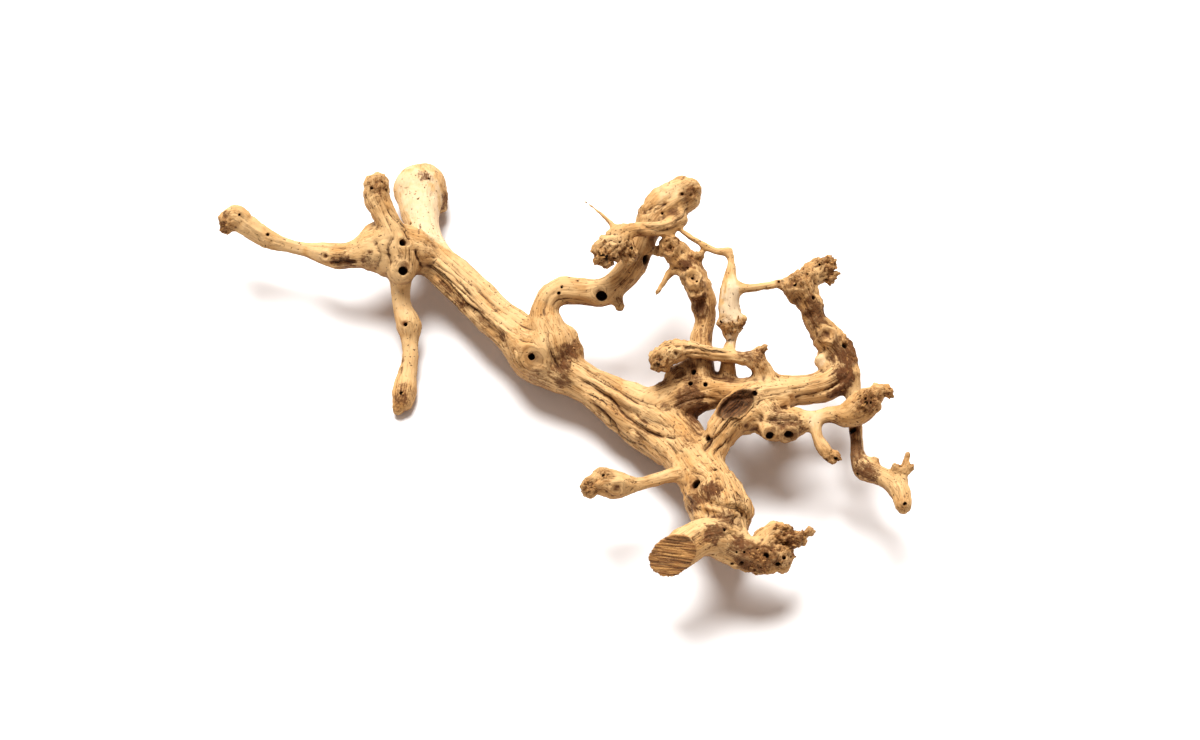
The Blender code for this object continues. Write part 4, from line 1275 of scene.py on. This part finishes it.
def blasted_wood(fibres):
    material, n, shader, place = wood_material("blasted_wood")
    fibre, check, figure = limb_fibres(n, fibres, {"Fibre Width": 1.1, "Fibre Length": 30.0,
                                                   "Check Width": 5.0, "Check Length": 80.0})
    scar, torn, bleached = n.split(n.attribute("patches"))
    crack_side, crack_power, bored = n.split(n.attribute("cracks"))
    ring, knot, sawn = n.split(n.attribute("knots"))
    hollow_fine, hollow_wide, under = n.split(n.attribute("hollows"))

    cloud = n.noise(place, 0.035, 3.0, 0.55)
    cloud_fine = n.noise(place, 0.22, 3.0, 0.6)
    speck = n.noise(place, 0.55, 3.0, 0.65)
    grit = n.noise(place, 1.6, 2.0, 0.6)

    # sound wood: pale where it was blasted and rubbed, tan where the figure is denser
    # how open the wood lies to the blasting and the light, for the painted shade below
    blast_and_shade_openness = n.attribute("blast_and_shade_openness", "Fac")
    tone = n.plus(n.times(figure, 0.65), n.times(cloud, 0.55))
    tone = n.fade(tone, 0.44, 0.78)
    colour = n.mix(tone, PALE_WOOD, TAN_WOOD)
    colour = n.mix(n.fade(fibre, 0.46, 0.66, 0.0, 0.75), colour, DEEP_TAN)
    colour = n.mix(n.fade(bleached, 0.0, 0.55, 0.0, 0.75), colour, PALE_WOOD)
    bleaching = n.plus(bleached, n.swing(cloud_fine, 0.6))
    colour = n.mix(n.fade(bleaching, 0.45, 1.1, 0.0, 0.85), colour, BLEACHED_WOOD)

    # painted shade: darker where other limbs close the wood in (partly brown that the blasting missed), on
    # the undersides, in the brown patches and in the hollows; ridges are rubbed pale
    # painted shade where other limbs close the wood in, partly brown that the blasting missed
    patchy = n.plus(blast_and_shade_openness, n.swing(speck, 0.35))
    patchy = n.plus(patchy, n.swing(cloud_fine, 0.45))
    colour = n.mix(n.fade(patchy, 0.24, 0.78, 0.95, 0.0), colour, SHADE_AND_STAIN_BROWN)
    # painted shade: darker brown on the faces that turn downwards
    lower = n.plus(under, n.swing(cloud_fine, 0.5))
    colour = n.mix(n.fade(lower, 0.18, 1.0, 0.0, 0.82), colour, SHADE_AND_STAIN_BROWN)
    # brown patches, partly stain and partly painted shade on shaded sides and in valleys
    brown_patches_and_shade = n.plus(n.attribute("brown_patches_and_shade", "Fac"), n.swing(cloud_fine, 0.7))
    brown_patches_and_shade = n.plus(brown_patches_and_shade, n.swing(fibre, 1.1))
    brown_patches_and_shade = n.plus(brown_patches_and_shade, n.swing(speck, 0.7))
    brown_tone = n.mix(n.fade(grit, 0.36, 0.64), CRACK_BROWN, SHADE_AND_STAIN_BROWN)
    colour = n.mix(n.fade(brown_patches_and_shade, 0.25, 0.90, 0.0, 0.92), colour, brown_tone)
    # painted shade in the broad hollows and the fine creases
    shade = n.fade(hollow_wide, 0.15, 1.8, 0.0, 0.85)
    colour = n.mix(shade, colour, HOLLOW_BROWN)
    shade = n.fade(hollow_fine, 0.06, 0.45, 0.0, 0.8)
    colour = n.mix(shade, colour, CRACK_BROWN)
    rubbed = n.times(n.fade(hollow_fine, -0.45, -0.08, 0.30, 0.0), n.fade(patchy, 0.5, 0.9))
    colour = n.mix(rubbed, colour, PALE_WOOD)

    # bark scars and torn ends
    crumbs = n.plus(n.swing(speck, 1.2), n.swing(cloud_fine, 1.1))
    crumbs = n.plus(crumbs, n.swing(fibre, 1.6))
    halo = n.times(n.fade(n.plus(scar, crumbs), 0.0, 0.9, 0.0, 0.8), n.fade(scar, 0.0, 0.35))
    colour = n.mix(halo, colour, HOLLOW_BROWN)
    scar_cover = n.times(n.fade(n.plus(scar, crumbs), 0.55, 1.25), n.fade(scar, 0.15, 0.7))
    scar_tone = n.mix(n.fade(cloud_fine, 0.35, 0.62), BARK_DARK, BARK_BROWN)
    colour = n.mix(n.times(scar_cover, 0.85), colour, scar_tone)
    torn_cover = n.times(torn, n.fade(cloud_fine, 0.30, 0.62, 0.75, 0.25))
    colour = n.mix(torn_cover, colour, n.mix(n.fade(speck, 0.40, 0.60), HOLLOW_BROWN, TORN_ORANGE))
    pits = n.times(n.fade(speck, 0.56, 0.66), torn)
    colour = n.mix(n.times(pits, 0.8), colour, CRACK_DARK)

    # pores and pinholes
    pores = n.fade(n.noise(place, 0.42, 1.0, 0.5), 0.685, 0.72, 0.0, 0.75)
    colour = n.mix(pores, colour, CRACK_BROWN)

    # the sawn face: dark saw lines on orange-tan end wood
    saw_place = n.vector("MULTIPLY", saw_coordinates(n, place), (1 / 18, 1 / 1.15, 1 / 18))
    saw_line = n.noise(saw_place, 1.0, 2.0, 0.6)
    sawn_tone = n.mix(n.fade(saw_line, 0.46, 0.66), SHADE_AND_STAIN_BROWN, TORN_ORANGE)
    sawn_tone = n.mix(n.fade(saw_line, 0.54, 0.66), sawn_tone, TAN_WOOD)
    sawn_tone = n.mix(n.fade(saw_line, 0.40, 0.49, 0.95, 0.0), sawn_tone, CRACK_BROWN)
    colour = n.mix(n.times(sawn, 0.9), colour, sawn_tone)

    # rings round the knots
    rings = n.plus(ring, n.swing(cloud_fine, 0.7))
    rings = n.math("SINE", n.times(rings, 14.0))
    rings = n.times(n.fade(rings, 0.0, 1.0, 0.0, 0.35), knot)
    colour = n.mix(rings, colour, HOLLOW_BROWN)
    heart = n.times(n.fade(ring, 0.2, 0.75, 0.55, 0.0), knot)
    colour = n.mix(heart, colour, HOLLOW_BROWN)

    # fine checks, the cracks themselves with their stain and painted shade, painted shade in the pocket and
    # down the bores
    spared = n.most(n.most(torn, sawn), n.times(bleached, 1.3))
    open_check = n.math("MULTIPLY", check, n.math("SUBTRACT", 1.0, spared), clamp=True)
    colour = n.mix(n.times(open_check, 0.40), colour, HOLLOW_BROWN)
    wander = n.plus(n.swing(grit, 0.9), n.swing(speck, 1.2))
    ragged = n.plus(n.math("ABSOLUTE", crack_side), wander)
    line = n.math("SUBTRACT", ragged, n.times(crack_power, 0.8))
    split = n.times(n.fade(line, -0.35, 0.3, 1.0, 0.0), n.fade(crack_power, 0.1, 0.6))
    # brown along the cracks: a stain, and painted shade along the broad grooves
    crack_tint_and_shade = n.times(n.fade(ragged, 0.3, 2.6, 0.5, 0.0), crack_power)
    colour = n.mix(crack_tint_and_shade, colour, HOLLOW_BROWN)
    colour = n.mix(n.times(split, 0.85), colour, CRACK_DARK)
    # painted shade in the pocket, streaked along the fibres
    pocket_shade = n.mix(n.fade(fibre, 0.4, 0.65), CRACK_DARK, BARK_BROWN)
    colour = n.mix(n.times(n.attribute("pocket", "Fac"), 0.93), colour, pocket_shade)
    # painted shade down the bores, darker the deeper
    colour = n.mix(bored, colour, BORE_SHADE)
    n.put(shader.inputs["Base Color"], colour)

    rough = n.plus(n.times(fibre, 0.22), 0.56)
    rough = n.math("ADD", rough, n.times(n.most(scar_cover, torn), 0.16), clamp=True)
    n.put(shader.inputs["Roughness"], rough)
    shader.inputs["Specular IOR Level"].default_value = 0.16

    height = n.times(fibre, 0.55)
    height = n.math("SUBTRACT", height, n.times(open_check, 0.5))
    height = n.math("SUBTRACT", height, n.times(pores, 0.8))
    height = n.math("SUBTRACT", height, n.times(split, 0.8))
    height = n.plus(height, n.times(grit, 0.18))
    crumbly = n.most(n.most(scar, torn), n.attribute("brown_patches_and_shade", "Fac"))
    height = n.plus(height, n.times(n.times(speck, 1.4), crumbly))
    bump = n.add("ShaderNodeBump", {"Height": height, "Strength": 0.9, "Distance": 0.0011})
    n.put(shader.inputs["Normal"], bump)
    return material


# ---------------------------------------------------------------- putting it together

def main():
    clear_view_settings()
    limbs = [Limb(name, points) for name, points in LIMBS.items()]
    skin = round_core()
    remeshed(skin, CORE_VOXEL)
    fill_forks(skin, CORE_FORK_PASSES)
    for cutter in (saw_cutter, pocket_cutter, ground_cutter):
        cut_away(skin, cutter())
    remeshed(skin, SKIN_VOXEL)
    fill_forks(skin, SKIN_FORK_PASSES)
    knots, scars, bores, cracks = carve(skin, limbs)
    decimated(skin, SKIN_TRIANGLES)
    cutter, bored = bore_cutter(Skin(skin.data), bores)
    cut_away(skin, cutter)
    describe(skin, limbs, knots, scars, cracks, bored)
    places = places_of(skin.data)
    low, high = [np.array(corner) / MM for corner in CAD_BOX]
    put_places(skin.data, np.clip(places, low, high) * MM)
    skin.data.polygons.foreach_set("use_smooth", np.ones(len(skin.data.polygons), bool))
    skin.data.materials.clear()
    skin.data.materials.append(blasted_wood(fibre_group()))
    flakes = bark_flakes(skin)
    for piece in (skin, flakes):
        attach(piece, "root")
        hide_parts("driftwood")
    floor_and_light()


def flake_shape():
    """One thin, pointed flake, 1 m long, lying along X with its root end sunk a little below Z = 0."""
    outline = ((-0.5, 0.0), (-0.30, 0.17), (0.05, 0.21), (0.36, 0.10), (0.5, -0.03), (0.22, -0.16),
               (-0.2, -0.2))
    shape = bmesh.new()
    top = [shape.verts.new((x, y, 0.10 + 0.10 * x)) for x, y in outline]
    foot = [shape.verts.new((x * 0.92, y * 0.8, -0.22)) for x, y in outline]
    shape.faces.new(top)
    shape.faces.new(foot[::-1])
    for k in range(len(outline)):
        j = (k + 1) % len(outline)
        shape.faces.new((top[j], top[k], foot[k], foot[j]))
    bmesh.ops.recalc_face_normals(shape, faces=shape.faces)
    return object_of("flake_shape", shape)


def flake_group():
    """Geometry nodes: scatters a flake over the skin where its flake density is high, along its fibres."""
    tree = bpy.data.node_groups.new("scatter_flakes", "GeometryNodeTree")
    for label, kind in (("Skin", "Geometry"), ("Flake", "Object"), ("Density", "Float"),
                        ("Smallest", "Float"), ("Largest", "Float"), ("Seed", "Int"), ("Wood", "Material")):
        tree.interface.new_socket(label, in_out="INPUT", socket_type="NodeSocket" + kind)
    tree.interface.new_socket("Flakes", in_out="OUTPUT", socket_type="NodeSocketGeometry")
    n = Nodes(tree)
    given = tree.nodes.new("NodeGroupInput").outputs
    ragged = n.add("GeometryNodeInputNamedAttribute", {"Name": "flaky"}, data_type="FLOAT")
    density = n.times(ragged, given["Density"])
    spread = n.add("GeometryNodeDistributePointsOnFaces", {"Mesh": given["Skin"], "Density": density,
                                                           "Seed": given["Seed"]})
    rotation = spread.node.outputs["Rotation"]
    heading = n.add("GeometryNodeInputNamedAttribute", {"Name": "heading"}, data_type="FLOAT_VECTOR")
    along = n.add("FunctionNodeAlignRotationToVector", {"Rotation": rotation, "Vector": heading},
                  axis="X", pivot_axis="Z")
    tilt_range = {0: (-0.3, -0.5, -0.6), 1: (0.3, 0.1, 0.6), "Seed": given["Seed"]}
    tilt = n.add("FunctionNodeRandomValue", tilt_range, data_type="FLOAT_VECTOR")
    turned = n.add("FunctionNodeRotateRotation", {"Rotation": along, "Rotate By": n.add(
        "FunctionNodeEulerToRotation", {0: tilt})}, rotation_space="LOCAL")
    size = tree.nodes.new("FunctionNodeRandomValue")
    n.put(size.inputs[2], given["Smallest"])
    n.put(size.inputs[3], given["Largest"])
    n.put(size.inputs["Seed"], given["Seed"])
    flake = n.add("GeometryNodeObjectInfo", {"Object": given["Flake"]}, out=4)
    laid = {"Points": spread, "Instance": flake, "Rotation": turned, "Scale": size.outputs[1]}
    scattered = n.add("GeometryNodeInstanceOnPoints", laid)
    plain = n.add("GeometryNodeRealizeInstances", {0: scattered})
    finished = n.add("GeometryNodeSetMaterial", {"Geometry": plain, "Material": given["Wood"]})
    n.put(tree.nodes.new("NodeGroupOutput").inputs[0], finished)
    return tree


def bark_flakes(skin):
    """Loose flakes and splinters of bark, scattered over the torn ends and the scars, as one plain mesh."""
    flake = flake_shape()
    holder = bpy.data.objects.new("bark_flakes", skin.data.copy())
    bpy.context.scene.collection.objects.link(holder)
    scatter = holder.modifiers.new("scatter", "NODES")
    scatter.node_group = flake_group()
    names = {socket.name: socket.identifier for socket in scatter.node_group.interface.items_tree
             if socket.in_out == "INPUT"}
    for label, value in (("Flake", flake), ("Density", FLAKE_DENSITY), ("Smallest", FLAKE_SIZES[0]),
                         ("Largest", FLAKE_SIZES[1]), ("Seed", SEED), ("Wood", torn_bark())):
        scatter[names[label]] = value
    bpy.context.view_layer.update()
    seen = holder.evaluated_get(bpy.context.evaluated_depsgraph_get())
    mesh = bpy.data.meshes.new_from_object(seen)
    mesh.name = "bark_flakes"
    holder.modifiers.clear()
    holder.data = mesh
    bpy.data.objects.remove(flake)
    low, high = [np.array(corner) for corner in CAD_BOX]
    put_places(mesh, np.clip(places_of(mesh), low, high))
    return holder


def torn_bark():
    """Flaking bark: dark and rough, with paler patches."""
    material, n, shader, place = wood_material("torn_bark")
    patch = n.noise(place, 0.16, 2.0, 0.55)
    grain = n.noise(n.vector("MULTIPLY", place, (0.9, 0.9, 1.8)), 1.0, 3.0, 0.65)
    colour = n.mix(n.fade(patch, 0.36, 0.62), SHADE_AND_STAIN_BROWN, TAN_WOOD)
    colour = n.mix(n.fade(grain, 0.42, 0.66, 0.0, 0.8), colour, HOLLOW_BROWN)
    n.put(shader.inputs["Base Color"], colour)
    n.put(shader.inputs["Roughness"], n.fade(grain, 0.3, 0.7, 0.62, 0.92))
    shader.inputs["Specular IOR Level"].default_value = 0.25
    bump = n.add("ShaderNodeBump", {"Height": grain, "Strength": 0.5, "Distance": 0.0005})
    n.put(shader.inputs["Normal"], bump)
    return material


def carve(obj, limbs):
    """Works the flutes, knots, scars, torn ends, cracks and saw ridges into the skin."""
    mesh = obj.data
    skin = Skin(mesh)
    places, normals, edges = skin.places, skin.normals, edges_of(mesh)
    total = len(places)
    count = np.bincount(edges.ravel(), minlength=total).astype(float)
    for limb in limbs:
        limb.take_knots(KNOTS)
    reads = limb_reads(places, limbs)
    shares = limb_shares(reads, total)
    girth, headings = local_girth(limbs, reads, shares, total)
    more_knots, more_scars, more_bores, more_cracks = stray_marks(skin, headings, girth)
    knots, scars = KNOTS + more_knots, SCARS + more_scars
    bores, cracks = BORES + more_bores, GROOVES + more_cracks
    sawn = sawn_share(places)
    relief = fibre_relief(places, limbs, reads, shares) + lumps(places, girth)
    knot_relief, _, _ = knot_marks(skin, knots)
    scar = patch_marks(skin, scars, SCAR_WAVE, 20, 2.0)
    _, rough = torn_marks(skin, TORN)
    crack_relief, _, _ = crack_marks(skin, cracks)
    relief = relief * (1 - 0.9 * sawn) + knot_relief + crack_relief
    relief += scar * (-0.25 + 0.45 * ripple(places / 2.6, 12))
    relief += rough * (1.2 * ripple(places / 5.5, 13) + 0.9 * ripple(places / 2.7, 14))
    relief += (1 - sawn) * gnarl_relief(places, limbs, reads, shares)
    relief += sawn * saw_ridges(places)
    relief *= np.clip(places[:, 2] / 2.5, 0, 1)
    pulled = splinter_pull(places, normals, headings, reads, shares, rough)
    places = places + normals * relief[:, None] + pulled
    smooth = 0.5 * places + 0.5 * neighbour_mean(places, edges, count)
    put_places(mesh, smooth * 0.35 + places * 0.65)
    return knots, scars, bores, cracks


def pocket_share(places):
    """1 in the pocket weathered into the hollow limb, 0 outside it."""
    turn = np.array(Vector(HOLLOW_LONG_AXIS).to_track_quat("X", "Z").to_matrix())
    off = places - np.array(HOLLOW_MIDDLE) + np.array(FOOTPRINT_MIDDLE)
    inside = off @ turn / np.array(HOLLOW_HALF_SIZES)
    return np.clip((1.17 - np.linalg.norm(inside, axis=1)) / 0.14, 0, 1)


def splinter_pull(places, normals, headings, reads, shares, rough):
    """Pulls the torn ends' fibres out along the limb, each by its own length."""
    pull = np.zeros(len(places))
    for (near, _, straight), share in zip(reads, shares):
        s, a, b = straight.T
        strands = ripple(field(s / 60, a / 2.6, b / 2.6), 50)
        tufts = ripple(field(s / 60, a / 5, b / 5), 51)
        pull[near] += share * (strands + 0.6 * tufts)
    ends = np.einsum("ij,ij->i", normals, headings)
    facing = np.sign(ends) * np.clip(np.abs(ends) * 1.6 - 0.4, 0, 1)
    return headings * (facing * rough * pull * 1.8)[:, None]


def describe(obj, limbs, knots, scars, cracks, bored):
    """Writes what the finish needs to know of each vertex."""
    mesh = obj.data
    skin = Skin(mesh)
    places = skin.places
    total = len(places)
    reads = limb_reads(places, limbs)
    shares = limb_shares(reads, total)
    channels, weights = fibre_channels(reads, shares, total)
    for letter, straight in zip("abcd", channels):
        put_attribute(mesh, "fibre_place_" + letter, straight)
    put_attribute(mesh, "fibre_share", weights[:3].T)
    _, ring, knot = knot_marks(skin, knots)
    scar = patch_marks(skin, scars, SCAR_WAVE, 20, 4.0)
    bleached = patch_marks(skin, BLEACHED, 9.0, 30, 6.0)
    # brown patches, partly stain and partly painted shade
    put_attribute(mesh, "brown_patches_and_shade", patch_marks(skin, BROWN_PATCHES_AND_SHADE, 7.0, 60, 8.0))
    torn, rough = torn_marks(skin, TORN)
    _, crack_side, crack_power = crack_marks(skin, cracks)
    # how far down a bore each vertex lies, for the painted shade down the bores
    inside = np.zeros(total)
    for place, radius, out, depth in bored:
        middle = place - out * depth / 2
        near = np.array([i for _, i, _ in skin.tree.find_range(middle, depth / 2 + radius + 1)])
        if len(near):
            off = places[near] - place
            down = -(off @ out)
            aside = np.linalg.norm(off + down[:, None] * out, axis=1)
            held = (aside < radius * 1.12) & (down > 0.6)
            inside[near[held]] = np.clip((down[held] - 0.5) / 4.0, 0, 1)
    put_attribute(mesh, "patches", field(scar, torn, bleached))
    _, headings = local_girth(limbs, reads, shares, total)
    put_attribute(mesh, "heading", headings)
    put_attribute(mesh, "flaky", np.clip(0.9 * rough - 0.5, 0, 2) + 0.35 * np.clip(scar - 0.4, 0, 1))
    put_attribute(mesh, "cracks", field(crack_side, crack_power, inside))
    put_attribute(mesh, "knots", field(ring, knot, sawn_share(places)))
    # how far each vertex faces down, and the hollowness, for the painted shade on the undersides and in the
    # hollows
    under = np.clip(0.5 - skin.normals[:, 2], 0, 1.5)
    put_attribute(mesh, "hollows", field(hollowness(mesh, 3), hollowness(mesh, 24), under))
    put_attribute(mesh, "blast_and_shade_openness", openness(skin, mesh))
    put_attribute(mesh, "pocket", pocket_share(places))


def floor_and_light():
    scene = bpy.context.scene
    corners = [(x * FLOOR_REACH, y * FLOOR_REACH, 0) for x, y in ((-1, -1), (1, -1), (1, 1), (-1, 1))]
    floor = object_of("floor", (corners, [], [(0, 1, 2, 3)]))
    paint = bpy.data.materials.new("floor_paint")
    paint.use_nodes = True
    paint.node_tree.nodes["Principled BSDF"].inputs["Base Color"].default_value = FLOOR_PAINT
    paint.node_tree.nodes["Principled BSDF"].inputs["Roughness"].default_value = FLOOR_ROUGHNESS
    floor.data.materials.append(paint)
    world = bpy.data.worlds.new("studio")
    scene.world = world
    world.use_nodes = True
    world.node_tree.nodes["Background"].inputs["Color"].default_value = ROOM_COLOUR
    world.node_tree.nodes["Background"].inputs["Strength"].default_value = ROOM_LIGHT
    lamp = bpy.data.lights.new("key", "SUN")
    lamp.angle = KEY_SOFTNESS
    lamp.energy = KEY_LIGHT
    key = bpy.data.objects.new("key", lamp)
    key.rotation_mode = "QUATERNION"
    key.rotation_quaternion = Vector(KEY_DIRECTION).to_track_quat("Z", "Y")
    scene.collection.objects.link(key)
    lens = bpy.data.cameras.new("camera")
    lens.lens = LENS
    lens.sensor_width = SENSOR_WIDTH
    camera = bpy.data.objects.new("camera", lens)
    tilt = np.radians(CAMERA_HEIGHT_ANGLE)
    back = Vector((0, -np.cos(tilt), np.sin(tilt)))
    aim = Vector((AIM_ALONG * MM, 0, 0)) - Vector(FOOTPRINT_MIDDLE) * MM
    camera.location = aim + back * CAMERA_DISTANCE
    camera.rotation_mode = "QUATERNION"
    camera.rotation_quaternion = back.to_track_quat("Z", "Y")
    scene.collection.objects.link(camera)
    scene.camera = camera


main()
